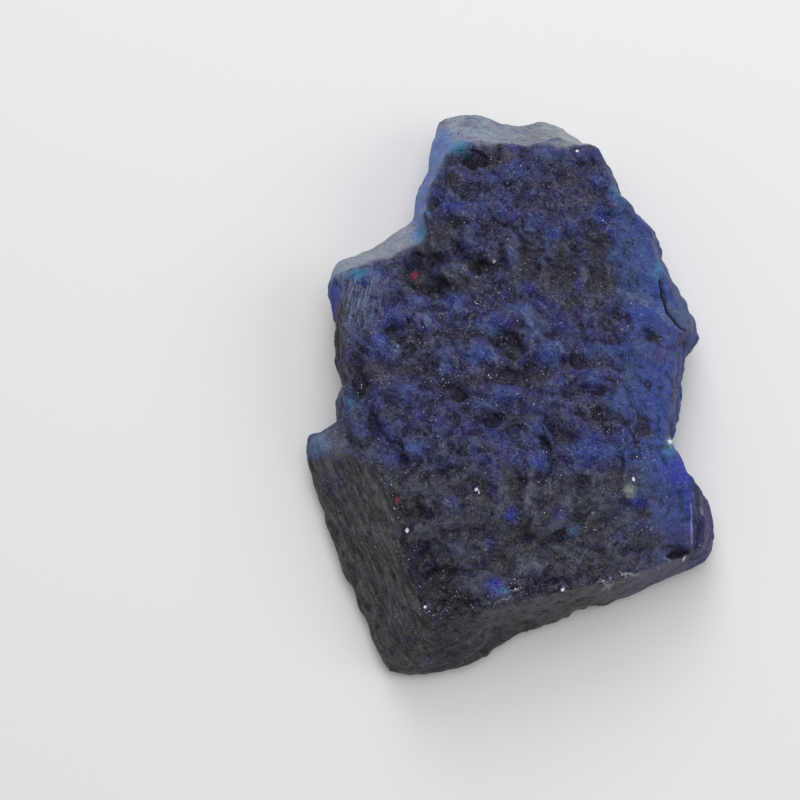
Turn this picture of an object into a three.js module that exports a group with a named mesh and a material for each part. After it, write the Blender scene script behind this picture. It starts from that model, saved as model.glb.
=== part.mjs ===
// A rough slab of dark blue gemstone, broken from a larger crystal, lying on its flattest break.
// The stone is one piece. Its upper face, the crown, is pitted and lumpy; it ends in a worn rim, from
// which the flanks fall to the girdle, the widest line round the stone, and tuck in to the resting face.
// Millimetres; X runs across the stone, Y along it, Z up, with the resting face on Z = 0.
import * as THREE from "three";

// ---- Driving dimensions ----------------------------------------------------------------------------
const crownLevel = 12.6; // height of the crown before its swells, ledges and pits are added
const rimRound = 0.7; // how far the worn rounding reaches to each side of the rim
const girdleRound = 0.8; // the same at the girdle
const footRound = 0.9; // the same at the edge of the resting face
const splineTension = 0.3; // 0 joins the stations by straight breaks, 0.5 by full curves

// Grid of the solid: cells across and along the crown, and rows down each part of the flank.
const cellsAcross = 34;
const cellsAlong = 60;
const flankRows = { rim: 2, face: 5, girdle: 2, under: 1, foot: 1 };

// Random relief, given as the size of one lump and its height.
const scallops = { size: 2.3, stretch: 1.35, depth: 0.65 };
const swells = { size: 6.5, depth: 0.55 };
const lumps = { size: 2.9, depth: 0.45 };
const flankRoughness = 0.55; // share of the crown's relief that the flanks have
const rightRoughness = 0.55; // and the share that the smoother right side keeps

// ---- The outline -----------------------------------------------------------------------------------
// Stations go clockwise, seen from above, from the near left corner.
// station(girdle x, girdle y, rim x, rim y, girdle height, inset of the resting face)
const station = (...values) => values;
const stations = [
  station(-16.0, -38.0, -11.2, -33.3, 1.6, 1.4), // near left corner
  station(-19.7, -30.2, -13.0, -28.8, 1.6, 1.2), // cleaved left flank
  station(-22.1, -24.3, -14.4, -24.8, 1.6, 1.2),
  station(-24.2, -18.6, -15.5, -20.0, 1.6, 1.2),
  station(-25.7, -13.9, -16.1, -15.8, 1.8, 1.4),
  station(-26.7, -10.8, -18.8, -12.6, 2.4, 1.8),
  station(-27.2, -9.0, -22.3, -10.2, 3.2, 2.2), // lower shoulder
  station(-26.5, -7.0, -23.8, -8.5, 3.8, 2.4),
  station(-24.8, -6.1, -23.0, -7.3, 4.2, 2.4),
  station(-22.8, -5.2, -21.4, -5.8, 4.5, 2.4),
  station(-23.1, -3.1, -21.7, -3.3, 4.5, 2.4), // small bulge
  station(-22.9, -1.5, -21.1, -2.0, 4.5, 2.4),
  station(-22.0, -0.4, -20.5, -0.5, 4.5, 2.2), // left notch
  station(-22.9, 1.5, -21.1, 1.5, 4.5, 2.2),
  station(-23.3, 5.6, -21.5, 5.3, 4.5, 2.0), // steep left side
  station(-23.3, 9.8, -21.4, 9.0, 4.5, 2.0),
  station(-24.2, 12.9, -22.0, 11.1, 5.0, 2.4),
  station(-23.8, 15.5, -21.8, 12.3, 5.5, 2.8),
  station(-22.1, 17.5, -20.6, 13.1, 6.0, 3.2), // upper shoulder
  station(-18.1, 18.9, -16.6, 14.3, 6.0, 3.4),
  station(-14.8, 21.3, -13.5, 15.5, 6.0, 3.2),
  station(-12.6, 22.9, -11.3, 17.3, 6.0, 2.6), // inner corner under the tongue
  station(-12.5, 26.2, -10.3, 23.2, 6.0, 2.4),
  station(-10.7, 29.7, -9.1, 27.0, 6.0, 2.6),
  station(-9.9, 33.2, -7.9, 29.4, 6.0, 3.0),
  station(-9.3, 36.3, -7.0, 30.2, 6.5, 3.4),
  station(-7.5, 37.5, -5.6, 30.4, 6.5, 3.8), // far end of the tongue
  station(-3.7, 37.6, -2.7, 30.4, 6.5, 3.8),
  station(-0.5, 36.5, 0.2, 30.3, 6.5, 3.2),
  station(2.6, 36.5, 2.9, 30.1, 6.5, 3.2),
  station(5.6, 37.0, 5.7, 31.0, 6.5, 3.6),
  station(8.7, 35.2, 8.6, 30.7, 6.5, 3.6),
  station(12.1, 32.8, 11.3, 30.0, 6.0, 3.4), // far right corner
  station(13.6, 31.0, 12.0, 29.0, 5.5, 3.0),
  station(15.2, 27.5, 13.3, 26.2, 5.5, 2.4),
  station(16.0, 25.1, 14.1, 23.3, 5.0, 2.2),
  station(18.1, 23.6, 15.9, 21.7, 5.0, 2.6), // right shoulder
  station(20.2, 21.2, 17.8, 19.3, 5.0, 2.8),
  station(21.0, 18.0, 18.8, 16.7, 5.0, 2.4),
  station(21.7, 14.5, 19.8, 13.9, 5.0, 2.2),
  station(23.5, 11.2, 21.5, 10.8, 5.0, 2.4),
  station(25.1, 8.2, 23.3, 8.0, 5.0, 3.0), // right point
  station(25.4, 6.1, 23.3, 6.1, 5.0, 3.0),
  station(24.1, 3.7, 21.8, 4.1, 5.0, 2.4),
  station(23.3, 0.8, 21.0, 0.9, 5.0, 2.0),
  station(23.0, -2.7, 20.7, -2.7, 4.5, 2.0),
  station(22.2, -6.2, 20.2, -5.9, 4.5, 2.0),
  station(21.3, -7.9, 19.9, -7.8, 4.5, 2.0), // right notch
  station(22.7, -10.3, 20.7, -10.5, 4.0, 2.2),
  station(24.2, -13.7, 22.1, -13.6, 4.0, 2.4),
  station(26.1, -15.8, 23.9, -15.6, 4.0, 2.8),
  station(26.7, -18.5, 24.5, -18.0, 3.5, 2.8),
  station(26.6, -21.3, 24.3, -22.7, 3.0, 2.6),
  station(25.6, -23.6, 22.9, -23.8, 2.6, 2.2), // near right corner
  station(22.8, -25.0, 20.6, -24.7, 2.4, 1.8), // near flank
  station(18.5, -26.8, 17.0, -26.2, 2.2, 1.4),
  station(15.0, -28.3, 13.4, -27.5, 2.0, 1.2),
  station(11.8, -29.2, 10.3, -28.5, 2.0, 1.0),
  station(9.5, -29.7, 7.5, -29.1, 2.0, 1.0),
  station(6.1, -31.0, 4.2, -29.9, 2.0, 1.0),
  station(2.5, -32.5, 0.1, -30.9, 2.0, 1.0),
  station(-1.4, -34.0, -3.6, -31.8, 2.0, 1.2),
  station(-3.4, -35.6, -6.1, -32.5, 2.0, 1.4),
  station(-6.9, -37.2, -8.6, -33.0, 1.8, 1.4),
  station(-11.4, -38.4, -10.2, -33.4, 1.6, 1.4),
];
// The crown's grid has its corners at these stations: near left, far left, far right, near right.
const cornerStations = [0, 26, 32, 53];

// ---- The crown -------------------------------------------------------------------------------------
// Broad swells: { x, y, across, along, turn, rise }; turn is in degrees, anticlockwise from above.
const broadForms = [
  { x: 1, y: 25, across: 18, along: 10, turn: 0, rise: 2.3 }, // crest of the tongue
  { x: -4, y: -8, across: 22, along: 13, turn: 8, rise: 1.9 }, // crest of the body
  { x: -8, y: -22, across: 12, along: 10, turn: 0, rise: 0.9 },
  { x: -16, y: 8, across: 7, along: 6, turn: 0, rise: 0.5 }, // upper shoulder
  { x: -25, y: -9.5, across: 6, along: 5, turn: 0, rise: -6.2 }, // the lower shoulder slopes away
  { x: -1, y: 11.2, across: 15, along: 3.2, turn: -5, rise: -1.3 }, // valley below the tongue
  { x: 24, y: -10, across: 10, along: 30, turn: 0, rise: -1.9 }, // the crown falls away to the right
  { x: 20, y: -26, across: 12, along: 7, turn: 10, rise: -0.7 },
  { x: -10.2, y: -28, across: 2.6, along: 3.4, turn: 20, rise: -1.1 }, // hollow in the near left corner
];
// Pits and lumps that stand out: { x, y, across, along, turn, rise }.
const spots = [
  { x: -4.8, y: 28.3, across: 2.0, along: 1.3, turn: 10, rise: -1.5 },
  { x: -7.6, y: 25.6, across: 0.9, along: 1.2, turn: 0, rise: -0.6 },
  { x: -10.0, y: 22.2, across: 1.0, along: 1.2, turn: 0, rise: -0.7 },
  { x: -8.6, y: 20.0, across: 1.6, along: 0.9, turn: -30, rise: -0.7 },
  { x: -1.4, y: 24.2, across: 1.3, along: 0.8, turn: 0, rise: -0.5 },
  { x: -12.0, y: 13.4, across: 1.3, along: 1.8, turn: 0, rise: -0.8 },
  { x: -10.6, y: 11.4, across: 2.3, along: 1.2, turn: -5, rise: -1.5 },
  { x: -4.0, y: 13.6, across: 1.4, along: 1.1, turn: 0, rise: -0.6 },
  { x: 2.6, y: 14.4, across: 1.4, along: 1.9, turn: 0, rise: -0.7 },
  { x: 6.6, y: 13.0, across: 1.3, along: 1.7, turn: 0, rise: -0.6 },
  { x: 11.6, y: 16.6, across: 1.3, along: 1.8, turn: 0, rise: -0.8 },
  { x: 11.2, y: 11.6, across: 1.2, along: 1.9, turn: 0, rise: -0.8 },
  { x: 7.0, y: 25.6, across: 1.2, along: 1.2, turn: 0, rise: -0.5 },
  { x: -14.2, y: 3.8, across: 1.0, along: 2.2, turn: 40, rise: -1.0 },
  { x: -0.4, y: 3.6, across: 1.1, along: 2.3, turn: 40, rise: -1.1 },
  { x: -7.3, y: -3.4, across: 0.8, along: 1.9, turn: 40, rise: -1.3 },
  { x: -19.4, y: -1.6, across: 0.8, along: 1.8, turn: 38, rise: -1.2 },
  { x: 17.6, y: 5.2, across: 1.1, along: 1.0, turn: 0, rise: -1.1 },
  { x: -13.8, y: -0.6, across: 2.2, along: 1.2, turn: 0, rise: -0.6 },
  { x: 0.6, y: -1.6, across: 2.4, along: 1.3, turn: 0, rise: -0.6 },
  { x: 9.8, y: -3.2, across: 1.6, along: 0.8, turn: 0, rise: -0.6 },
  { x: 11.6, y: -6.2, across: 1.2, along: 0.9, turn: 0, rise: -0.5 },
  { x: 16.8, y: -7.8, across: 0.9, along: 1.6, turn: 10, rise: -0.6 },
  { x: -3.0, y: -7.6, across: 1.1, along: 0.9, turn: 0, rise: -0.4 },
  { x: -14.2, y: -20.2, across: 1.6, along: 1.2, turn: 0, rise: -1.0 },
  { x: -11.2, y: -20.0, across: 1.2, along: 1.0, turn: 0, rise: -0.6 },
  { x: -13.4, y: -23.4, across: 1.0, along: 1.3, turn: 0, rise: -0.7 },
  { x: 4.4, y: -23.6, across: 2.6, along: 1.1, turn: 8, rise: -0.6 },
  { x: 8.4, y: -20.2, across: 1.1, along: 1.7, turn: 0, rise: -0.6 },
  { x: 9.6, y: -15.6, across: 1.4, along: 1.3, turn: 0, rise: -0.5 },
  { x: 0.4, y: -17.4, across: 1.0, along: 1.9, turn: 0, rise: -0.6 },
  { x: 21.2, y: -23.8, across: 1.2, along: 0.9, turn: 10, rise: -0.9 },
  { x: -16.2, y: 9.4, across: 2.6, along: 0.8, turn: 35, rise: 0.6 }, // ridge on the upper shoulder
  { x: 0.3, y: 15.8, across: 0.8, along: 1.8, turn: 0, rise: 0.5 },
  { x: 2.6, y: 6.2, across: 1.4, along: 1.3, turn: 0, rise: 0.5 },
  { x: 4.6, y: 2.0, across: 1.4, along: 1.3, turn: 0, rise: 0.5 },
  { x: -7.2, y: 6.6, across: 1.6, along: 1.2, turn: 0, rise: 0.5 },
  { x: -17.6, y: 3.4, across: 1.4, along: 1.2, turn: 20, rise: 0.5 },
  { x: 12.0, y: -15.0, across: 0.7, along: 1.5, turn: 0, rise: 0.5 },
  { x: 15.0, y: -17.0, across: 1.0, along: 1.4, turn: 15, rise: 0.6 },
  { x: -0.9, y: -15.4, across: 0.7, along: 2.2, turn: 0, rise: 0.5 },
  { x: 2.4, y: -14.2, across: 0.7, along: 1.6, turn: 0, rise: 0.4 },
  { x: -4.0, y: -27.6, across: 2.0, along: 0.7, turn: 22, rise: 0.7 }, // ridge above the near rim
  { x: 2.6, y: -26.8, across: 2.6, along: 0.8, turn: 24, rise: 0.8 },
  { x: -1.4, y: -30.0, across: 1.2, along: 1.0, turn: 0, rise: 0.5 },
];
// Chips: the crown right of the line from "from" to "to" is broken away by "drop" below the rest.
const chips = [
  { from: [18.9, 14.0], to: [21.9, 5.6], drop: 1.7, slope: 0.9 }, // beside the right point
  { from: [23.0, -15.4], to: [22.2, -26.4], drop: 1.8, slope: 1.8 }, // near right corner
];

// ---- Random fields ---------------------------------------------------------------------------------
// A repeatable random number from 0 to 1 for each whole-numbered cell.
function cellRandom(i, j, k, channel) {
  let h = Math.imul(i, 374761393) ^ Math.imul(j, 668265263);
  h ^= Math.imul(k, 1442695041) ^ Math.imul(channel, 974634777);
  h = Math.imul(h ^ (h >>> 15), 2246822519);
  h = Math.imul(h ^ (h >>> 13), 3266489917);
  return ((h ^ (h >>> 16)) >>> 0) / 4294967296;
}

const mix = (a, b, t) => a + (b - a) * t;
const ease = (t) => t * t * t * (t * (6 * t - 15) + 10);
const step = (low, high, value) => ease(Math.min(1, Math.max(0, (value - low) / (high - low))));

// Smooth random field from -1 to 1 that changes over about one unit.
function smoothField(x, y, z, channel) {
  const [i, j, k] = [Math.floor(x), Math.floor(y), Math.floor(z)];
  const [u, v, w] = [ease(x - i), ease(y - j), ease(z - k)];
  const corner = (a, b, c) => cellRandom(i + a, j + b, k + c, channel) * 2 - 1;
  const edge = (b, c) => mix(corner(0, b, c), corner(1, b, c), u);
  return mix(mix(edge(0, 0), edge(1, 0), v), mix(edge(0, 1), edge(1, 1), v), w);
}

// Distance to the nearest of the random seeds, one in each unit cell.
function seedDistance(x, y, z, channel) {
  const [i, j, k] = [Math.floor(x), Math.floor(y), Math.floor(z)];
  let nearest = Infinity;
  for (let a = -1; a <= 1; a++)
    for (let b = -1; b <= 1; b++)
      for (let c = -1; c <= 1; c++) {
        const seedX = i + a + cellRandom(i + a, j + b, k + c, channel);
        const seedY = j + b + cellRandom(i + a, j + b, k + c, channel + 1);
        const seedZ = k + c + cellRandom(i + a, j + b, k + c, channel + 2);
        nearest = Math.min(nearest, (seedX - x) ** 2 + (seedY - y) ** 2 + (seedZ - z) ** 2);
      }
  return Math.sqrt(nearest);
}

// ---- Shape -----------------------------------------------------------------------------------------
// A rounded rise or hollow that fades out from its centre: rise * exp(-(distance in radii) squared).
function bump({ x, y, across, along, turn, rise }, px, py) {
  const angle = THREE.MathUtils.degToRad(turn);
  const [dx, dy] = [px - x, py - y];
  const u = (dx * Math.cos(angle) + dy * Math.sin(angle)) / across;
  const v = (dy * Math.cos(angle) - dx * Math.sin(angle)) / along;
  return rise * Math.exp(-u * u - v * v);
}

// How far the crown is chipped down at a point: it falls steeply right of the chip's line.
function chipDrop({ from, to, drop, slope }, px, py) {
  const length = Math.hypot(to[0] - from[0], to[1] - from[1]);
  const [ux, uy] = [(to[0] - from[0]) / length, (to[1] - from[1]) / length];
  const [dx, dy] = [px - from[0], py - from[1]];
  const right = -(dx * uy - dy * ux);
  const alongLine = dx * ux + dy * uy;
  const within = step(-0.6, 0.6, alongLine) * step(-0.6, 0.6, length - alongLine);
  return within * Math.min(drop, Math.max(0, right * slope));
}

// Height of the crown at a point in plan, before the random relief.
function crownHeight(px, py) {
  let z = crownLevel;
  for (const form of broadForms) z += bump(form, px, py);
  for (const spot of spots) z += bump(spot, px, py);
  for (const chip of chips) z -= chipDrop(chip, px, py);
  return z;
}

// Random relief at a point in space: scalloped hollows with ridges between, over swells and lumps.
function relief(x, y, z) {
  const warpX = x + 0.9 * smoothField(x / 3.1, y / 3.1, z / 3.1, 20);
  const warpY = y + 0.9 * smoothField(x / 3.1, y / 3.1, z / 3.1, 21);
  const { size, stretch, depth } = scallops;
  const hollow = Math.min(1, 1.35 * seedDistance(warpX / size, warpY / (size * stretch), z / size, 1));
  const swell = smoothField(x / swells.size, y / swells.size, z / swells.size, 10);
  const lump = smoothField(warpX / lumps.size, warpY / lumps.size, z / lumps.size, 11);
  return depth * (hollow * hollow - 0.55) + swells.depth * swell + lumps.depth * lump;
}

// The six station values at a place along the outline, by a closed cubic through the stations.
function outlineAt(place) {
  const count = stations.length;
  const whole = Math.floor(place);
  const t = place - whole;
  const [before, start, end, after] = [-1, 0, 1, 2].map((n) => stations[(whole + n + count) % count]);
  return start.map((value, n) => {
    const leave = splineTension * (end[n] - before[n]);
    const arrive = splineTension * (after[n] - value);
    const turned = t * t * (3 - 2 * t);
    return mix(value, end[n], turned) + t * (1 - t) * ((1 - t) * leave - t * arrive);
  });
}

// Places along one side of the crown. Each cell takes an equal share of the way along the rim plus
// the way made good towards the side's far end, so that the grid lines across the stone never cross.
function placesAlongSide(first, last, cells) {
  const samples = 40 * (last - first);
  const start = outlineAt(first);
  const end = outlineAt(last);
  const length = Math.hypot(end[2] - start[2], end[3] - start[3]);
  const [towardsX, towardsY] = [(end[2] - start[2]) / length, (end[3] - start[3]) / length];
  const travelled = [0];
  let previous = start;
  for (let n = 1; n <= samples; n++) {
    const here = outlineAt(mix(first, last, n / samples));
    const [dx, dy] = [here[2] - previous[2], here[3] - previous[3]];
    const madeGood = Math.max(0, dx * towardsX + dy * towardsY);
    travelled.push(travelled[n - 1] + 0.5 * Math.hypot(dx, dy) + madeGood + 0.001);
    previous = here;
  }
  const places = [];
  let n = 0;
  for (let cell = 0; cell < cells; cell++) {
    const wanted = (travelled[samples] * cell) / cells;
    while (travelled[n + 1] < wanted) n++;
    const share = (wanted - travelled[n]) / (travelled[n + 1] - travelled[n]);
    places.push(mix(first, last, (n + share) / samples));
  }
  return places;
}

const vector = (x, y, z) => new THREE.Vector3(x, y, z);
const between = (a, b, t) => a.clone().lerp(b, t);
const stepTowards = (a, b, distance) => between(a, b, Math.min(0.45, distance / a.distanceTo(b)));
const roundedCorner = (a, corner, b, t) => between(between(a, corner, t), between(corner, b, t), t);

// The rows of one column of the flank, from the crown's edge down to the edge of the resting face.
function flankColumn(place) {
  const [girdleX, girdleY, rimX, rimY, girdleZ, inset] = outlineAt(place);
  const spine = vector(0, 0.6 * girdleY, 0);
  const rim = vector(rimX, rimY, crownHeight(rimX, rimY));
  const girdle = vector(girdleX, girdleY, girdleZ);
  const foot = stepTowards(vector(girdleX, girdleY, 0), spine, inset);
  const crownEdge = stepTowards(rim, vector(0, 0.6 * rimY, rim.z), rimRound);
  crownEdge.z = crownHeight(crownEdge.x, crownEdge.y);
  const restEdge = stepTowards(foot, spine, footRound);
  const belowRim = stepTowards(rim, girdle, rimRound);
  const aboveGirdle = stepTowards(girdle, rim, girdleRound);
  const belowGirdle = stepTowards(girdle, foot, girdleRound);
  const aboveFoot = stepTowards(foot, girdle, footRound);
  const stretches = [
    { rows: flankRows.rim, at: (t) => roundedCorner(crownEdge, rim, belowRim, t) },
    { rows: flankRows.face, at: (t) => between(belowRim, aboveGirdle, t) },
    { rows: flankRows.girdle, at: (t) => roundedCorner(aboveGirdle, girdle, belowGirdle, t) },
    { rows: flankRows.under, at: (t) => between(belowGirdle, aboveFoot, t) },
    { rows: flankRows.foot, at: (t) => roundedCorner(aboveFoot, foot, restEdge, t) },
  ];
  const column = stretches.flatMap(({ rows, at }) => Array.from({ length: rows }, (_, n) => at(n / rows)));
  return [...column, restEdge];
}

// A grid of points inside a closed ring: the four sides of the ring are blended across (a Coons patch).
// The ring starts at the near left corner and runs clockwise: along, across, along, across.
function patchInside(ring, across, along) {
  const left = (j) => ring[j];
  const far = (i) => ring[along + i];
  const right = (j) => ring[2 * along + across - j];
  const near = (i) => ring[(2 * along + 2 * across - i) % ring.length];
  const grid = [];
  for (let j = 0; j <= along; j++)
    for (let i = 0; i <= across; i++) {
      const [u, v] = [i / across, j / along];
      const point = near(i).clone().multiplyScalar(1 - v).addScaledVector(far(i), v);
      point.addScaledVector(left(j), 1 - u).addScaledVector(right(j), u);
      point.addScaledVector(left(0), -(1 - u) * (1 - v)).addScaledVector(right(0), -u * (1 - v));
      point.addScaledVector(left(along), -(1 - u) * v).addScaledVector(right(along), -u * v);
      grid.push(point);
    }
  return grid;
}

// Number in the ring of each grid point on the patch's border, or -1 inside it.
function ringNumber(i, j, across, along, ringLength) {
  if (i === 0) return j;
  if (j === along) return along + i;
  if (i === across) return 2 * along + across - j;
  if (j === 0) return (2 * along + 2 * across - i) % ringLength;
  return -1;
}

// Adds a patch inside a ring that is already in the points, and returns its triangles.
// "finish" gives each point inside the ring its height; "up" is true for a patch that faces up.
function fillRing(points, ringIndex, across, along, finish, up) {
  const grid = patchInside(ringIndex.map((n) => points[n]), across, along);
  const numbers = grid.map((point, n) => {
    const [i, j] = [n % (across + 1), Math.floor(n / (across + 1))];
    const onRing = ringNumber(i, j, across, along, ringIndex.length);
    if (onRing >= 0) return ringIndex[onRing];
    points.push(finish(point));
    return points.length - 1;
  });
  const triangles = [];
  for (let j = 0; j < along; j++)
    for (let i = 0; i < across; i++) {
      const a = numbers[j * (across + 1) + i];
      const b = numbers[j * (across + 1) + i + 1];
      const c = numbers[(j + 1) * (across + 1) + i + 1];
      const d = numbers[(j + 1) * (across + 1) + i];
      const pair = (i + j) % 2 ? [[a, b, c], [a, c, d]] : [[a, b, d], [b, c, d]];
      for (const [p, q, r] of pair) triangles.push(up ? [p, q, r] : [p, r, q]);
    }
  return triangles;
}

// ---- The solid -------------------------------------------------------------------------------------
function buildStone() {
  const [nearLeft, shoulder, farRight, nearRight] = cornerStations;
  const places = [
    ...placesAlongSide(nearLeft, shoulder, cellsAlong),
    ...placesAlongSide(shoulder, farRight, cellsAcross),
    ...placesAlongSide(farRight, nearRight, cellsAlong),
    ...placesAlongSide(nearRight, stations.length, cellsAcross),
  ];
  const columns = places.map(flankColumn);
  const columnCount = columns.length;
  const rowCount = columns[0].length;
  const points = [];
  for (let row = 0; row < rowCount; row++) for (const column of columns) points.push(column[row]);
  const ringOf = (row) => places.map((_, n) => row * columnCount + n);

  const onCrown = (point) => vector(point.x, point.y, crownHeight(point.x, point.y));
  const triangles = fillRing(points, ringOf(0), cellsAcross, cellsAlong, onCrown, true);
  for (let row = 0; row < rowCount - 1; row++)
    for (let n = 0; n < columnCount; n++) {
      const next = (n + 1) % columnCount;
      const [a, b] = [row * columnCount + n, row * columnCount + next];
      const [c, d] = [a + columnCount, b + columnCount];
      triangles.push([a, b, d], [a, d, c]);
    }

  // The resting face: every second point of the lowest ring carries on into a coarser flat patch.
  const lowest = ringOf(rowCount - 1);
  const inner = [];
  for (let n = 0; n < columnCount; n += 2) {
    const edge = points[lowest[n]];
    points.push(stepTowards(edge, vector(0, 0.6 * edge.y, 0), 1.2));
    inner.push(points.length - 1);
  }
  for (let n = 0; n < inner.length; n++) {
    const [a, b, c] = [lowest[2 * n], lowest[2 * n + 1], lowest[(2 * n + 2) % columnCount]];
    const [d, e] = [inner[n], inner[(n + 1) % inner.length]];
    triangles.push([a, b, d], [b, e, d], [b, c, e]);
  }
  const flat = (point) => point.setZ(0);
  triangles.push(...fillRing(points, inner, cellsAcross / 2, cellsAlong / 2, flat, false));

  const coordinates = points.flatMap((point) => point.toArray());
  const geometry = new THREE.BufferGeometry();
  geometry.setAttribute("position", new THREE.Float32BufferAttribute(coordinates, 3));
  geometry.setIndex(triangles.flat());
  addRelief(geometry);
  geometry.computeBoundingBox();
  const middle = geometry.boundingBox.getCenter(vector(0, 0, 0));
  geometry.translate(-middle.x, -middle.y, 0);
  return geometry;
}

// Moves every point out or in along its normal by the random relief; the resting face stays flat.
function addRelief(geometry) {
  geometry.computeVertexNormals();
  const position = geometry.getAttribute("position");
  const normal = geometry.getAttribute("normal");
  for (let n = 0; n < position.count; n++) {
    const point = vector(0, 0, 0).fromBufferAttribute(position, n);
    if (point.z < 0.01) continue;
    const out = vector(0, 0, 0).fromBufferAttribute(normal, n);
    const share = mix(flankRoughness, 1, step(0.3, 0.8, out.z)) * step(0, 2, point.z);
    const sideShare = mix(1, rightRoughness, step(8, 18, point.x));
    point.addScaledVector(out, share * sideShare * relief(point.x, point.y, point.z));
    position.setXYZ(n, point.x, point.y, Math.max(0, point.z));
  }
  geometry.deleteAttribute("normal");
}

const stoneMaterial = new THREE.MeshStandardMaterial({ color: 0x343b5e, roughness: 0.55, metalness: 0 });
const stone = new THREE.Mesh(buildStone(), stoneMaterial);
stone.name = "stone";

const model = new THREE.Group();
model.add(stone);
export default model;
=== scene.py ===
import bpy
import math
import numpy as np
from mathutils import Euler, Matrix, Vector


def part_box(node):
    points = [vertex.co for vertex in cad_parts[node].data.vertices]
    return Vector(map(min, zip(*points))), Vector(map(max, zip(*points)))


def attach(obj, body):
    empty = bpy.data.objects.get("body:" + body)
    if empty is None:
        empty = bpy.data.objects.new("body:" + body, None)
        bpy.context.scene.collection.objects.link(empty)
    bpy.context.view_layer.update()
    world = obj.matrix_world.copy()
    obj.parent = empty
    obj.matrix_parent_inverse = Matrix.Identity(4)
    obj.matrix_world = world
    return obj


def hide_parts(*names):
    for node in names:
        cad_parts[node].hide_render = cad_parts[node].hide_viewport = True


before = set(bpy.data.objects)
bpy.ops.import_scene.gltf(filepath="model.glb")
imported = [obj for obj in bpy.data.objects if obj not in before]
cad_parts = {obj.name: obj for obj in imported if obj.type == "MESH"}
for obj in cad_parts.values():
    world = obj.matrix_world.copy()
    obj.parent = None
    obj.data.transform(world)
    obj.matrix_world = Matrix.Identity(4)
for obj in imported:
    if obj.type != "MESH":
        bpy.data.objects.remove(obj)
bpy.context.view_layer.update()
mm = 0.001

# A rough slab of dark blue gemstone, worked out in millimetres and turned into metres at the end.
# X runs across the stone, Y along it, Z up; the resting face lies on Z = 0.

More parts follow.
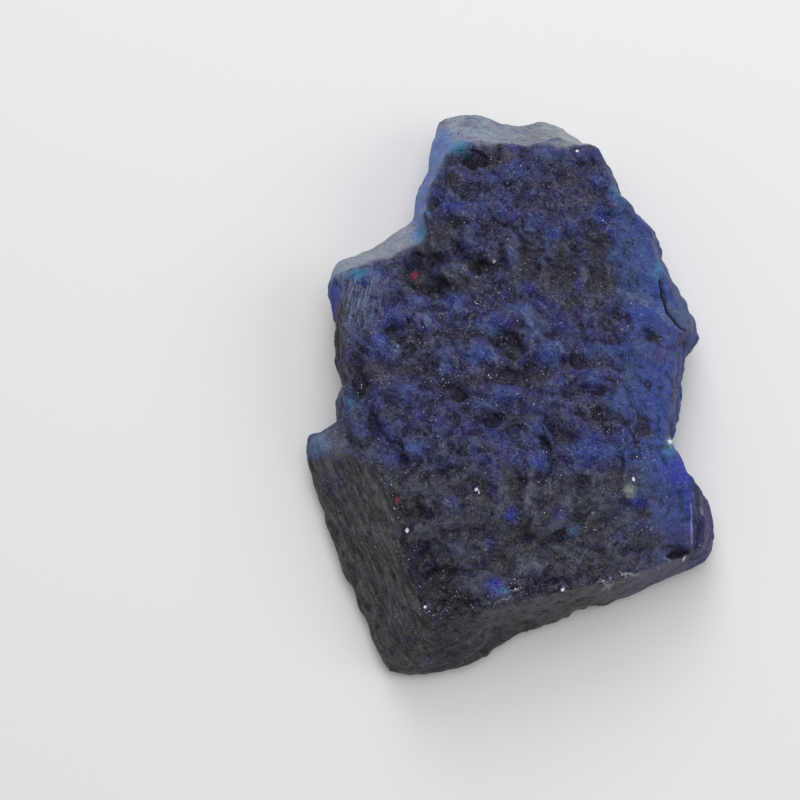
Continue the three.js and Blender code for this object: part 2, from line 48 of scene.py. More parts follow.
# ---------- outline ----------
# clockwise from the near left corner: girdle x, girdle y, rim x, rim y, girdle height, inset of the foot
stations = np.array([
    (-16.0, -38.0, -11.2, -33.3, 1.6, 1.4),  # near left corner
    (-19.7, -30.2, -13.0, -28.8, 1.6, 1.2),  # cleaved left flank
    (-22.1, -24.3, -14.4, -24.8, 1.6, 1.2),
    (-24.2, -18.6, -15.5, -20.0, 1.6, 1.2),
    (-25.7, -13.9, -16.1, -15.8, 1.8, 1.4),
    (-26.7, -10.8, -18.8, -12.6, 2.4, 1.8),
    (-27.2, -9.0, -22.3, -10.2, 3.2, 2.2),  # lower shoulder
    (-26.5, -7.0, -23.8, -8.5, 3.8, 2.4),
    (-24.8, -6.1, -23.0, -7.3, 4.2, 2.4),
    (-22.8, -5.2, -21.4, -5.8, 4.5, 2.4),
    (-23.1, -3.1, -21.7, -3.3, 4.5, 2.4),  # small bulge
    (-22.9, -1.5, -21.1, -2.0, 4.5, 2.4),
    (-22.0, -0.4, -20.5, -0.5, 4.5, 2.2),  # left notch
    (-22.9, 1.5, -21.1, 1.5, 4.5, 2.2),
    (-23.3, 5.6, -21.5, 5.3, 4.5, 2.0),  # steep left side
    (-23.3, 9.8, -21.4, 9.0, 4.5, 2.0),
    (-24.2, 12.9, -22.0, 11.1, 5.0, 2.4),
    (-23.8, 15.5, -21.8, 12.3, 5.5, 2.8),
    (-22.1, 17.5, -20.6, 13.1, 6.0, 3.2),  # upper shoulder
    (-18.1, 18.9, -16.6, 14.3, 6.0, 3.4),
    (-14.8, 21.3, -13.5, 15.5, 6.0, 3.2),
    (-12.6, 22.9, -11.3, 17.3, 6.0, 2.6),  # inner corner under the tongue
    (-12.5, 26.2, -10.3, 23.2, 6.0, 2.4),
    (-10.7, 29.7, -9.1, 27.0, 6.0, 2.6),
    (-9.9, 33.2, -7.9, 29.4, 6.0, 3.0),
    (-9.3, 36.3, -7.0, 30.2, 6.5, 3.4),
    (-7.5, 37.5, -5.6, 30.4, 6.5, 3.8),  # far end of the tongue
    (-3.7, 37.6, -2.7, 30.4, 6.5, 3.8),
    (-0.5, 36.5, 0.2, 30.3, 6.5, 3.2),
    (2.6, 36.5, 2.9, 30.1, 6.5, 3.2),
    (5.6, 37.0, 5.7, 31.0, 6.5, 3.6),
    (8.7, 35.2, 8.6, 30.7, 6.5, 3.6),
    (12.1, 32.8, 11.3, 30.0, 6.0, 3.4),  # far right corner
    (13.6, 31.0, 12.0, 29.0, 5.5, 3.0),
    (15.2, 27.5, 13.3, 26.2, 5.5, 2.4),
    (16.0, 25.1, 14.1, 23.3, 5.0, 2.2),
    (18.1, 23.6, 15.9, 21.7, 5.0, 2.6),  # right shoulder
    (20.2, 21.2, 17.8, 19.3, 5.0, 2.8),
    (21.0, 18.0, 18.8, 16.7, 5.0, 2.4),
    (21.7, 14.5, 19.8, 13.9, 5.0, 2.2),
    (23.5, 11.2, 21.5, 10.8, 5.0, 2.4),
    (25.1, 8.2, 23.3, 8.0, 5.0, 3.0),  # right point
    (25.4, 6.1, 23.3, 6.1, 5.0, 3.0),
    (24.1, 3.7, 21.8, 4.1, 5.0, 2.4),
    (23.3, 0.8, 21.0, 0.9, 5.0, 2.0),
    (23.0, -2.7, 20.7, -2.7, 4.5, 2.0),
    (22.2, -6.2, 20.2, -5.9, 4.5, 2.0),
    (21.3, -7.9, 19.9, -7.8, 4.5, 2.0),  # right notch
    (22.7, -10.3, 20.7, -10.5, 4.0, 2.2),
    (24.2, -13.7, 22.1, -13.6, 4.0, 2.4),
    (26.1, -15.8, 23.9, -15.6, 4.0, 2.8),
    (26.7, -18.5, 24.5, -18.0, 3.5, 2.8),
    (26.6, -21.3, 24.3, -22.7, 3.0, 2.6),
    (25.6, -23.6, 22.9, -23.8, 2.6, 2.2),  # near right corner
    (22.8, -25.0, 20.6, -24.7, 2.4, 1.8),  # near flank
    (18.5, -26.8, 17.0, -26.2, 2.2, 1.4),
    (15.0, -28.3, 13.4, -27.5, 2.0, 1.2),
    (11.8, -29.2, 10.3, -28.5, 2.0, 1.0),
    (9.5, -29.7, 7.5, -29.1, 2.0, 1.0),
    (6.1, -31.0, 4.2, -29.9, 2.0, 1.0),
    (2.5, -32.5, 0.1, -30.9, 2.0, 1.0),
    (-1.4, -34.0, -3.6, -31.8, 2.0, 1.2),
    (-3.4, -35.6, -6.1, -32.5, 2.0, 1.4),
    (-6.9, -37.2, -8.6, -33.0, 1.8, 1.4),
    (-11.4, -38.4, -10.2, -33.4, 1.6, 1.4),
])
corners = (0, 26, 32, 53)  # the crown grid's corners: near left, far left, far right, near right

stoneShape = {
    "crownLevel": 12.6,
    "rimRound": 0.7,  # reach of the worn rounding to each side of the rim
    "girdleRound": 0.8,
    "footRound": 0.9,
    "tension": 0.3,  # of the curve through the stations
    "cellsAcross": 184,
    "cellsAlong": 252,
    "rimRows": 5,
    "faceRows": 34,
    "girdleRows": 5,
    "underRows": 4,
    "footRows": 3,
    "baseSteps": (1.2, 1.6),  # how far in each coarser ring of the base lies from the last
    "spine": 0.6,  # steps inwards make for the point of the Y axis at this share of their own y
    "flankShare": 0.55,  # share of the coarse relief that the flanks have
    "rightShare": 0.55,  # and the share that the smoother right side keeps
    "levelFrom": (0.3, 0.8),  # upward part of the normal, from the flanks' share to the whole
    "bareBelow": (0, 2),  # heights, from none of the relief to the whole
    "rightFrom": (8, 18),  # x, from the whole to the right side's share
}
# the coarse relief: size of the cells and height of each part
reliefShape = {
    "warp": (3.1, 0.9),
    "hollows": (2.3, 0.40),
    "hollowStretch": 1.35,  # along Y
    "hollowSlope": 1.35,
    "hollowLevel": 0.55,  # taken off, so that hollows and ridges balance
    "swells": (6.5, 0.55),
    "lumps": (2.9, 0.45),
}

# broad swells of the crown: x, y, across, along, turn in degrees, rise
broadForms = [
    (1, 25, 18, 10, 0, 2.3),  # crest of the tongue
    (-4, -8, 22, 13, 8, 1.9),  # crest of the body
    (-8, -22, 12, 10, 0, 0.9),
    (-16, 8, 7, 6, 0, 0.5),  # upper shoulder
    (-25, -9.5, 6, 5, 0, -6.2),  # the lower shoulder slopes away
    (-1, 11.2, 15, 3.2, -5, -1.3),  # valley below the tongue
    (24, -10, 10, 30, 0, -1.9),  # the crown falls away to the right
    (20, -26, 12, 7, 10, -0.7),
    (-10.2, -28, 2.6, 3.4, 20, -1.1),  # hollow in the near left corner
]
# pits and lumps that stand out, in the same form
spots = [
    (-4.8, 28.3, 2.0, 1.3, 10, -1.5),
    (-7.6, 25.6, 0.9, 1.2, 0, -0.6),
    (-10.0, 22.2, 1.0, 1.2, 0, -0.7),
    (-8.6, 20.0, 1.6, 0.9, -30, -0.7),
    (-1.4, 24.2, 1.3, 0.8, 0, -0.5),
    (-12.0, 13.4, 1.3, 1.8, 0, -0.8),
    (-10.6, 11.4, 2.3, 1.2, -5, -1.5),
    (-4.0, 13.6, 1.4, 1.1, 0, -0.6),
    (2.6, 14.4, 1.4, 1.9, 0, -0.7),
    (6.6, 13.0, 1.3, 1.7, 0, -0.6),
    (11.6, 16.6, 1.3, 1.8, 0, -0.8),
    (11.2, 11.6, 1.2, 1.9, 0, -0.8),
    (7.0, 25.6, 1.2, 1.2, 0, -0.5),
    (-14.2, 3.8, 1.0, 2.2, 40, -1.0),
    (-0.4, 3.6, 1.1, 2.3, 40, -1.1),
    (-7.0, -3.9, 0.7, 1.6, 50, -0.6),
    (-19.4, -1.6, 0.8, 1.8, 38, -1.2),
    (17.6, 5.2, 1.1, 1.0, 0, -1.1),
    (-13.8, -0.6, 2.2, 1.2, 0, -0.6),
    (0.6, -1.6, 2.4, 1.3, 0, -0.6),
    (9.8, -3.2, 1.6, 0.8, 0, -0.6),
    (11.6, -6.2, 1.2, 0.9, 0, -0.5),
    (16.8, -7.8, 0.9, 1.6, 10, -0.6),
    (-3.0, -7.6, 1.1, 0.9, 0, -0.4),
    (-14.2, -20.2, 1.6, 1.2, 0, -1.0),
    (-11.2, -20.0, 1.2, 1.0, 0, -0.6),
    (-13.4, -23.4, 1.0, 1.3, 0, -0.7),
    (4.4, -23.6, 2.6, 1.1, 8, -0.6),
    (8.4, -20.2, 1.1, 1.7, 0, -0.6),
    (9.6, -15.6, 1.4, 1.3, 0, -0.5),
    (0.4, -17.4, 1.0, 1.9, 0, -0.6),
    (21.2, -23.8, 1.2, 0.9, 10, -0.9),
    (-16.2, 9.4, 2.6, 0.8, 35, 0.6),  # ridge on the upper shoulder
    (0.3, 15.8, 0.8, 1.8, 0, 0.5),
    (2.6, 6.2, 1.4, 1.3, 0, 0.5),
    (4.6, 2.0, 1.4, 1.3, 0, 0.5),
    (-7.2, 6.6, 1.6, 1.2, 0, 0.5),
    (-17.6, 3.4, 1.4, 1.2, 20, 0.5),
    (12.0, -15.0, 0.7, 1.5, 0, 0.5),
    (15.0, -17.0, 1.0, 1.4, 15, 0.6),
    (-0.9, -15.4, 0.7, 2.2, 0, 0.5),
    (2.4, -14.2, 0.7, 1.6, 0, 0.4),
    (-4.0, -27.6, 2.0, 0.7, 22, 0.7),  # ridge above the near rim
    (2.6, -26.8, 2.6, 0.8, 24, 0.8),
    (-1.4, -30.0, 1.2, 1.0, 0, 0.5),
]
# the crown right of each line is broken away: from x, from y, to x, to y, drop, slope
chips = [
    (20.1, 13.4, 22.5, 5.7, 1.7, 0.9),  # beside the right point
    (23.0, -15.4, 22.2, -26.4, 1.8, 1.8),  # near right corner
]

# markings laid over the crown by kind: x, y, across, along, strength
stains = {
    "ultramarine": [
        (17.2, 5.3, 0.7, 0.6, 0.9), (17.2, 9.0, 1.3, 0.9, 0.7), (-1.0, -10.6, 1.4, 0.9, 0.6),
        (-7.8, 21.3, 1.8, 0.8, 0.9), (-9.5, 23.4, 1.0, 1.0, 0.6), (-2.1, 26.2, 1.5, 1.0, 0.6),
        (1.1, 26.2, 1.8, 1.2, 0.7), (5.5, 29.3, 2.0, 1.3, 0.6), (-0.3, 23.3, 1.3, 0.9, 0.5),
        (-4.1, 21.3, 1.3, 1.0, 0.6), (0.5, 20.2, 1.0, 0.9, 0.7), (3.7, 19.2, 1.5, 1.0, 0.7),
        (5.9, 17.8, 1.0, 0.8, 0.8), (2.1, 10.9, 0.8, 0.8, 1.0), (11.9, 20.4, 1.8, 1.3, 0.9),
        (13.6, 19.0, 1.3, 1.2, 0.8), (11.6, 25.1, 1.0, 1.0, 0.6), (4.8, 15.7, 0.6, 1.6, 0.6),
        (-0.3, 14.6, 1.0, 1.0, 0.4), (-5.5, 12.8, 0.8, 0.5, 0.6), (8.7, 11.6, 0.6, 0.6, 0.7),
        (-12.2, 8.8, 1.3, 0.9, 0.9), (-7.6, 8.8, 1.3, 1.2, 0.9), (-22.7, 12.0, 0.6, 1.2, 1.0),
        (-18.6, 11.4, 1.0, 1.0, 0.8), (-15.7, 10.7, 0.8, 0.6, 0.9), (-15.3, 6.8, 1.5, 1.3, 0.9),
        (-10.9, 6.0, 1.0, 0.8, 0.7), (-1.8, 6.0, 1.5, 1.3, 0.9), (1.4, 7.7, 1.5, 1.0, 0.7),
        (4.7, 2.0, 1.3, 1.0, 1.0), (-16.6, 2.7, 1.5, 1.2, 1.0), (-4.1, 1.4, 1.8, 1.2, 1.0),
        (-8.3, 0.0, 1.1, 1.3, 0.7), (-13.8, -3.1, 1.5, 1.2, 0.8), (-1.6, -4.4, 2.0, 0.9, 0.7),
        (-17.6, -4.1, 1.0, 1.0, 0.6), (5.9, -2.0, 0.6, 0.8, 0.8), (-12.1, -6.7, 1.0, 1.0, 0.5),
        (-6.4, -8.8, 1.1, 1.0, 0.5), (2.5, -6.1, 1.5, 1.3, 0.5), (-21.2, 1.9, 0.8, 1.0, 0.5),
        (-3.5, -6.1, 1.0, 0.9, 0.5), (-15.4, -9.4, 1.3, 1.0, 0.5), (16.8, 19.5, 1.8, 1.3, 0.6),
        (18.8, 16.4, 1.0, 1.3, 0.7), (17.2, 8.1, 1.8, 1.0, 0.9), (4.5, 8.7, 1.5, 1.0, 0.7),
        (6.3, 6.0, 1.3, 1.2, 0.6), (10.3, -1.7, 1.1, 0.9, 1.0), (13.6, 1.6, 1.8, 1.3, 0.6),
        (18.7, 0.0, 1.5, 1.6, 0.8), (18.7, -4.1, 1.3, 1.0, 0.6), (9.8, 2.7, 1.3, 1.0, 0.7),
        (9.9, 6.8, 1.1, 0.9, 0.5), (-12.7, -11.3, 1.3, 0.8, 0.6), (-15.7, -12.3, 1.3, 1.0, 0.6),
        (-2.0, -10.1, 1.0, 0.9, 0.6), (-3.0, -14.0, 0.9, 1.6, 0.7), (-2.4, -16.0, 0.8, 1.3, 0.6),
        (-0.0, -12.6, 1.3, 0.9, 0.7), (2.8, -13.2, 1.3, 0.9, 0.9), (9.8, -11.3, 2.3, 1.8, 1.0),
        (1.8, -16.5, 0.6, 1.6, 0.6), (-0.5, -19.9, 0.9, 0.8, 1.0), (5.8, -19.5, 0.8, 0.8, 0.8),
        (-3.3, -23.3, 0.8, 0.8, 0.7), (-7.8, -18.4, 0.8, 0.8, 0.6), (-2.5, -28.8, 1.1, 0.9, 1.0),
        (15.6, -17.5, 0.9, 0.8, 1.0), (21.0, -14.2, 1.8, 2.3, 1.0), (22.5, -17.2, 1.0, 1.3, 0.9),
        (21.1, -20.2, 1.5, 1.8, 0.7), (12.9, -22.0, 0.8, 0.6, 0.6), (20.5, -25.8, 1.5, 0.8, 0.4),
        (8.8, -8.4, 1.3, 1.0, 0.6), (14.5, -10.0, 1.5, 1.0, 0.5), (21.3, 2.1, 1.3, 1.8, 0.4),
    ],
    "charcoal": [
        (-3.4, 28.2, 2.5, 1.0, 1.0), (-0.2, 28.6, 1.0, 0.8, 0.8), (-7.1, 25.4, 0.8, 1.0, 0.9),
        (-10.0, 22.3, 0.6, 1.0, 0.8), (-7.8, 19.5, 1.3, 1.0, 0.9), (-10.1, 17.0, 2.0, 1.8, 1.0),
        (-12.2, 12.2, 1.8, 1.3, 1.0), (-7.2, 11.8, 2.5, 1.3, 1.0), (-3.9, 13.9, 1.8, 1.0, 0.9),
        (2.6, 15.3, 1.0, 1.8, 0.8), (2.2, 12.9, 1.8, 1.6, 0.9), (6.2, 12.5, 2.3, 1.8, 1.0),
        (11.4, 16.4, 1.5, 1.6, 0.9), (11.7, 11.6, 1.9, 2.2, 1.0), (6.6, 16.3, 1.0, 1.0, 0.7),
        (9.3, 21.8, 1.3, 1.0, 0.7), (3.2, 24.8, 1.5, 0.5, 0.7), (-22.2, 5.4, 0.6, 3.9, 0.9),
        (-14.1, 3.2, 1.3, 1.0, 1.0), (-12.2, 3.9, 1.0, 0.9, 0.8), (0.1, 3.6, 1.3, 1.6, 1.0),
        (-18.3, -0.7, 2.3, 1.0, 0.9), (-6.9, -4.2, 0.7, 0.5, 0.8), (-5.7, -2.1, 1.8, 0.9, 0.9),
        (-7.5, 4.1, 1.3, 1.0, 0.8), (-9.0, 6.4, 0.8, 0.6, 0.7), (-18.9, -2.7, 1.0, 0.6, 0.8),
        (3.9, 0.0, 2.3, 0.6, 0.8), (-0.5, -0.8, 2.5, 1.0, 0.8), (-12.9, -0.4, 2.0, 1.3, 0.8),
        (-16.6, -6.1, 1.0, 0.6, 0.6), (0.6, -7.1, 1.5, 0.8, 0.7), (7.4, 9.1, 2.3, 1.0, 0.9),
        (12.8, 6.0, 1.3, 1.6, 0.6), (18.4, 4.4, 0.6, 0.5, 1.0), (15.7, -25.2, 2.6, 1.0, 0.8),
        (8.2, 0.5, 2.0, 0.6, 0.8), (2.3, -1.3, 1.5, 1.3, 0.8), (10.6, -3.1, 0.8, 0.8, 0.6),
        (10.9, -7.1, 1.5, 1.6, 0.9), (16.6, -8.1, 1.0, 1.3, 0.7), (21.2, -4.0, 0.5, 2.6, 0.8),
        (-13.8, -19.2, 1.8, 1.6, 1.0), (-10.0, -24.0, 1.5, 1.6, 0.6), (-8.5, -26.3, 1.8, 0.8, 1.0),
        (-10.0, -28.4, 1.8, 1.6, 1.0), (-7.5, -30.6, 1.5, 1.0, 1.0), (-0.1, -17.1, 1.5, 1.8, 0.9),
        (3.7, -17.5, 1.5, 1.8, 0.9), (8.4, -14.7, 1.5, 1.0, 0.9), (0.9, -22.7, 3.0, 1.8, 1.0),
        (-5.3, -21.8, 1.8, 1.6, 0.7), (8.6, -16.9, 1.8, 1.3, 0.7), (12.9, -14.7, 1.5, 1.0, 0.8),
        (16.2, -19.2, 1.3, 0.8, 0.7), (24.2, -20.4, 0.8, 3.6, 0.9), (21.6, -23.9, 1.5, 0.6, 1.0),
        (17.3, -22.7, 2.5, 1.0, 0.9), (9.9, -20.5, 3.0, 1.6, 0.8), (11.9, -25.5, 3.8, 1.6, 0.8),
        (4.4, -25.2, 3.0, 1.3, 0.8), (16.1, -13.6, 0.8, 0.6, 0.5), (-11.9, -14.9, 1.8, 1.0, 0.6),
        (-8.7, -16.2, 1.5, 1.0, 0.6), (-14.4, -16.2, 1.0, 1.0, 0.7), (2.2, 14.3, 1.1, 2.3, 1.0),
        (10.2, 22.2, 1.2, 1.3, 0.8), (10.1, 19.9, 1.0, 1.0, 0.8), (7.8, 25.0, 1.5, 1.0, 0.7),
        (-0.3, -1.3, 3.6, 0.9, 0.8), (-14.3, -0.8, 1.6, 1.0, 0.8), (7.0, -9.6, 1.4, 1.2, 0.9),
        (17.1, -8.5, 1.0, 1.2, 0.8), (-1.1, -25.4, 1.5, 1.4, 1.0), (7.5, -22.7, 0.8, 0.6, 0.9),
        (-3.6, -17.7, 1.1, 1.2, 0.7), (4.3, -16.9, 1.2, 1.2, 0.9), (11.9, -15.3, 0.7, 1.1, 0.8),
        (18.9, 4.3, 0.8, 0.6, 0.8), (-23.5, 4.6, 0.9, 4.6, 1.0), (-15.6, -30.0, 1.2, 3.0, 0.3),
    ],
    "azure": [
        (-18.2, 12.6, 1.6, 1.0, 1.0), (-25.2, -8.8, 1.8, 1.5, 0.8), (2.4, 4.3, 1.0, 0.9, 0.8),
        (-9.3, 27.2, 0.6, 1.8, 0.7), (-10.6, 24.6, 0.5, 1.6, 0.5), (13.8, 15.7, 1.1, 1.8, 0.7),
        (2.7, 4.6, 0.8, 0.9, 0.8), (18.4, 10.9, 1.3, 1.0, 0.8), (16.0, 12.8, 1.5, 1.6, 0.5),
        (13.6, -4.4, 1.0, 1.0, 0.8), (2.3, -26.1, 0.8, 0.6, 0.7), (-6.9, -24.3, 1.0, 1.0, 0.4),
        (10.6, -15.8, 1.0, 1.0, 0.3), (7.4, -21.4, 0.8, 0.8, 0.6), (-4.1, 2.0, 0.8, 0.5, 0.5),
        (3.7, 19.0, 0.8, 0.5, 0.5), (4.7, 2.3, 0.6, 0.5, 0.6), (9.8, -10.4, 1.0, 0.8, 0.4),
        (-11.1, 21.1, 0.6, 0.5, 0.4), (18.6, -14.9, 0.8, 1.0, 0.3), (-2.1, -29.1, 0.8, 0.5, 1.0),
        (-1.6, -29.4, 0.5, 0.3, 1.0), (-3.9, 1.7, 1.0, 0.9, 0.9), (-2.4, 1.0, 0.8, 0.8, 0.7),
        (4.7, 1.2, 1.2, 1.1, 0.8), (-16.5, 3.2, 1.1, 0.8, 0.8), (-15.1, 2.2, 0.9, 0.7, 0.7),
        (9.9, -1.7, 1.0, 0.9, 0.7), (13.5, -4.7, 1.0, 1.0, 0.9), (17.7, 7.7, 2.0, 1.2, 0.7),
        (16.7, 14.5, 2.2, 2.8, 0.6), (17.6, 10.7, 2.0, 1.0, 0.8), (14.3, 20.7, 0.8, 2.2, 0.7),
        (1.4, 7.4, 1.4, 1.0, 0.5), (11.8, 2.2, 1.4, 1.0, 0.6), (-7.8, 8.9, 1.2, 0.9, 0.5),
        (-12.6, -11.5, 0.8, 0.6, 0.8), (-22.6, 11.4, 0.9, 1.6, 0.7), (8.8, -10.8, 1.6, 0.9, 0.6),
        (12.6, -11.4, 1.6, 0.9, 0.6), (6.6, -19.0, 1.0, 1.0, 0.3), (19.2, 11.2, 1.2, 0.9, 0.8),
    ],
    "teal": [
        (-6.7, 30.3, 1.0, 1.2, 0.9), (-20.0, 12.7, 1.0, 0.6, 0.9), (-11.8, 18.8, 0.5, 1.2, 0.7),
        (14.6, 24.0, 0.8, 1.3, 0.8), (19.6, 14.2, 0.5, 0.8, 0.8), (-25.1, -8.4, 1.5, 1.2, 0.4),
        (-10.7, 20.9, 0.5, 0.8, 0.4), (19.9, -10.9, 0.8, 1.0, 0.6), (7.4, -21.1, 0.6, 0.8, 0.4),
        (-1.4, -29.3, 0.4, 0.3, 0.7), (-22.6, 13.6, 1.0, 0.8, 0.5), (-2.1, 4.6, 0.5, 0.6, 0.4),
        (-20.8, -4.4, 0.9, 1.2, 0.4), (20.0, 14.0, 1.3, 0.9, 0.6), (18.9, 12.9, 0.8, 0.6, 0.5),
    ],
    "pale": [
        (7.9, 17.1, 0.5, 0.5, 0.5), (4.6, -15.6, 0.5, 0.8, 0.5), (-15.2, -15.8, 0.4, 0.9, 0.4),
        (2.3, -26.0, 0.8, 0.4, 0.5), (20.2, -9.6, 0.5, 0.8, 1.0), (14.8, -16.2, 0.6, 0.7, 0.9),
        (24.5, -18.0, 0.3, 0.6, 0.8), (8.4, 30.5, 1.4, 0.6, 0.8),
    ],
    "red": [
        (-12.4, 13.1, 0.3, 0.4, 1.0), (-14.8, -17.8, 0.3, 0.4, 0.9), (-11.9, 12.2, 0.2, 0.2, 0.6),
    ],
    "black": [
        (-5.1, 28.6, 1.1, 0.6, 0.9), (-3.5, 28.2, 0.9, 0.5, 0.8), (-7.5, 25.5, 0.5, 0.9, 0.6),
        (-9.9, 22.1, 0.6, 0.6, 0.6), (-11.9, 11.7, 1.1, 0.5, 1.0), (-10.0, 10.7, 1.3, 0.5, 0.9),
        (-13.1, 4.9, 0.5, 0.5, 0.7), (-1.5, 4.3, 0.6, 0.6, 0.8), (-8.0, -1.5, 0.6, 0.5, 0.8),
        (-14.0, -19.3, 1.4, 1.0, 1.0), (-15.0, -17.9, 0.6, 0.8, 0.7), (-14.0, -27.5, 1.5, 1.3, 0.8),
        (-11.8, -30.3, 1.5, 1.2, 0.9), (-9.3, -31.6, 1.3, 0.8, 0.8), (-16.2, -21.4, 0.5, 1.2, 0.6),
        (-12.9, -25.9, 1.3, 1.0, 0.6), (-9.0, -28.2, 0.9, 0.6, 0.7), (22.0, -23.9, 1.3, 0.3, 1.0),
        (-11.3, -26.3, 1.5, 0.6, 1.0), (-9.2, -14.5, 0.8, 0.5, 0.5), (-7.8, -14.7, 0.8, 0.5, 0.5),
        (-2.2, 14.3, 0.4, 0.5, 0.5), (-3.5, -7.1, 1.0, 0.5, 0.5), (-2.0, -7.3, 0.8, 0.5, 0.5),
        (-13.0, 2.8, 1.0, 0.6, 1.0), (-15.3, 5.1, 0.9, 0.9, 0.9), (-0.4, 1.4, 1.0, 0.6, 1.0),
        (-2.1, 3.5, 0.7, 0.8, 0.9), (-0.5, 3.9, 0.6, 0.8, 0.8), (-19.4, -2.8, 0.8, 0.7, 1.0),
        (4.2, -0.8, 0.6, 0.5, 0.8), (-4.4, 28.0, 1.0, 1.0, 1.0), (-6.3, 23.0, 0.5, 0.7, 0.7),
        (-8.0, 19.1, 1.0, 0.7, 0.8), (-9.8, 11.2, 2.0, 0.8, 1.0), (-3.7, 13.7, 1.0, 0.7, 0.9),
        (-9.8, 14.2, 0.8, 0.8, 0.7), (-14.2, -19.3, 1.0, 1.0, 1.0), (-11.8, -19.3, 0.9, 0.8, 0.7),
        (-13.7, -22.8, 0.6, 2.0, 0.9), (-11.6, -25.5, 1.8, 1.5, 0.9), (-8.1, -26.8, 1.2, 0.8, 0.9),
        (-12.4, -27.6, 1.3, 1.2, 1.0), (-5.5, -31.2, 1.8, 0.7, 0.7), (-8.5, -29.8, 1.8, 1.0, 0.8),
        (4.3, -29.2, 2.0, 0.5, 0.8), (11.1, -27.3, 1.2, 0.4, 0.6), (-6.3, -16.7, 0.8, 0.6, 0.7),
        (-8.1, -3.0, 0.5, 0.4, 0.7), (-7.3, -3.7, 0.5, 0.4, 0.8), (-6.6, -4.3, 0.6, 0.4, 1.0),
        (-9.0, -31.2, 1.8, 1.0, 0.9), (-11.4, -29.0, 1.8, 1.4, 0.9), (-12.6, -25.2, 1.4, 1.4, 0.6),
        (-6.5, -30.6, 1.4, 0.8, 0.8), (-11.0, -22.6, 0.9, 1.2, 0.5), (18.1, 4.5, 0.5, 0.4, 0.8),
        (-14.4, 3.7, 1.0, 0.6, 0.9), (-11.7, 4.4, 1.0, 0.7, 0.8), (-8.0, -30.2, 2.2, 1.2, 0.9),
        (-10.8, -32.0, 2.4, 1.0, 1.0), (-13.6, -29.2, 1.4, 1.4, 0.8), (-12.2, -30.8, 1.2, 1.6, 0.9),
        (-14.6, 3.3, 0.9, 0.6, 0.9),
    ],
    # pale film on ridges, partly painted sheen
    "filmAndSheen": [
        (-6.6, -24.3, 1.3, 1.3, 0.6), (-5.7, -28.8, 1.5, 0.5, 0.8), (-3.8, -27.1, 1.1, 0.5, 0.8),
        (2.5, -26.1, 1.4, 0.8, 0.9), (5.2, -23.6, 1.6, 0.6, 0.8), (-11.3, -21.9, 1.3, 0.8, 0.6),
        (-11.4, -16.8, 1.5, 1.0, 0.5), (-21.4, -10.8, 1.5, 0.8, 0.4), (10.7, -25.2, 2.0, 0.6, 0.5),
        (-11.8, 6.4, 1.0, 0.8, 0.5), (-19.0, 9.1, 1.0, 1.8, 0.6), (-17.0, 10.5, 0.9, 1.6, 0.6),
        (-20.6, 5.0, 0.6, 1.6, 0.5), (-15.4, 13.5, 0.9, 1.2, 0.6), (-5.2, 18.1, 1.3, 0.8, 0.3),
        (0.7, 16.7, 0.8, 1.8, 0.5), (6.2, 16.0, 1.0, 0.8, 0.3), (-1.4, 8.4, 1.5, 0.6, 0.4),
        (3.5, 6.1, 1.0, 0.8, 0.6), (6.3, 3.0, 0.8, 1.0, 0.4), (-10.5, 3.0, 1.1, 0.9, 0.5),
        (-4.1, -0.7, 1.5, 0.6, 0.4), (-8.6, 0.3, 0.6, 1.0, 0.5), (13.3, 14.3, 1.0, 2.6, 0.4),
        (16.8, 9.8, 1.8, 0.9, 0.3), (20.8, 7.1, 1.0, 0.8, 0.6), (11.0, -13.6, 1.3, 0.8, 0.4),
        (16.0, -14.9, 1.3, 1.0, 0.4), (17.1, -20.1, 1.5, 1.0, 0.3), (5.9, -13.6, 0.8, 1.2, 0.4),
        (11.3, -4.4, 0.6, 1.6, 0.4), (14.6, -1.1, 1.0, 1.0, 0.3), (9.2, 28.6, 1.5, 0.8, 0.4),
        (6.1, 27.5, 1.0, 1.0, 0.3), (-6.5, 24.4, 1.0, 1.3, 0.3), (-15.0, -8.4, 1.1, 0.8, 0.4),
        (-9.3, -8.4, 1.1, 0.6, 0.4), (1.0, 14.5, 0.4, 2.3, 0.9), (4.6, 14.7, 0.5, 2.2, 0.8),
        (9.9, 12.9, 0.3, 1.2, 0.7), (-1.7, -17.0, 0.5, 2.2, 0.8), (2.1, -17.0, 0.5, 3.0, 0.8),
        (7.0, -18.0, 0.4, 1.6, 0.8), (10.6, -15.8, 0.6, 2.0, 0.8), (-13.2, 15.6, 0.3, 0.9, 0.8),
        (-9.9, -16.0, 0.4, 1.4, 0.6), (14.0, -20.1, 1.3, 1.3, 0.6), (-7.1, -25.2, 1.0, 1.3, 0.7),
        (8.0, -24.2, 2.0, 0.5, 0.7), (-6.9, 13.2, 1.2, 1.2, 0.6), (-5.1, 17.3, 0.7, 1.2, 0.6),
        (10.6, 9.2, 0.4, 0.9, 0.7), (1.4, 7.4, 1.5, 1.2, 0.5), (2.4, 4.7, 0.8, 0.9, 0.6),
        (6.5, -20.8, 1.2, 0.5, 0.5), (11.5, -19.0, 1.6, 0.8, 0.5), (9.0, -18.5, 0.8, 1.0, 0.5),
        (13.0, -24.6, 1.6, 0.5, 0.5), (-19.0, 7.0, 0.9, 1.6, 0.7), (-17.8, 11.6, 1.4, 0.7, 0.7),
        (7.4, 15.8, 0.6, 0.6, 0.6), (-11.9, 8.9, 1.0, 0.8, 0.5), (11.2, 6.9, 0.9, 0.7, 0.4),
        (20.9, 8.6, 0.4, 0.6, 1.0), (21.5, 7.7, 0.4, 0.6, 1.0), (22.1, 6.8, 0.4, 0.6, 1.0),
        (22.8, 6.1, 0.5, 0.4, 0.9), (16.9, 9.9, 1.3, 0.5, 0.8), (18.4, 9.2, 0.9, 0.4, 0.7),
        (-0.1, 2.6, 0.7, 0.5, 0.4), (-21.7, 10.8, 0.8, 1.6, 0.7), (-19.8, 10.8, 1.4, 0.9, 0.5),
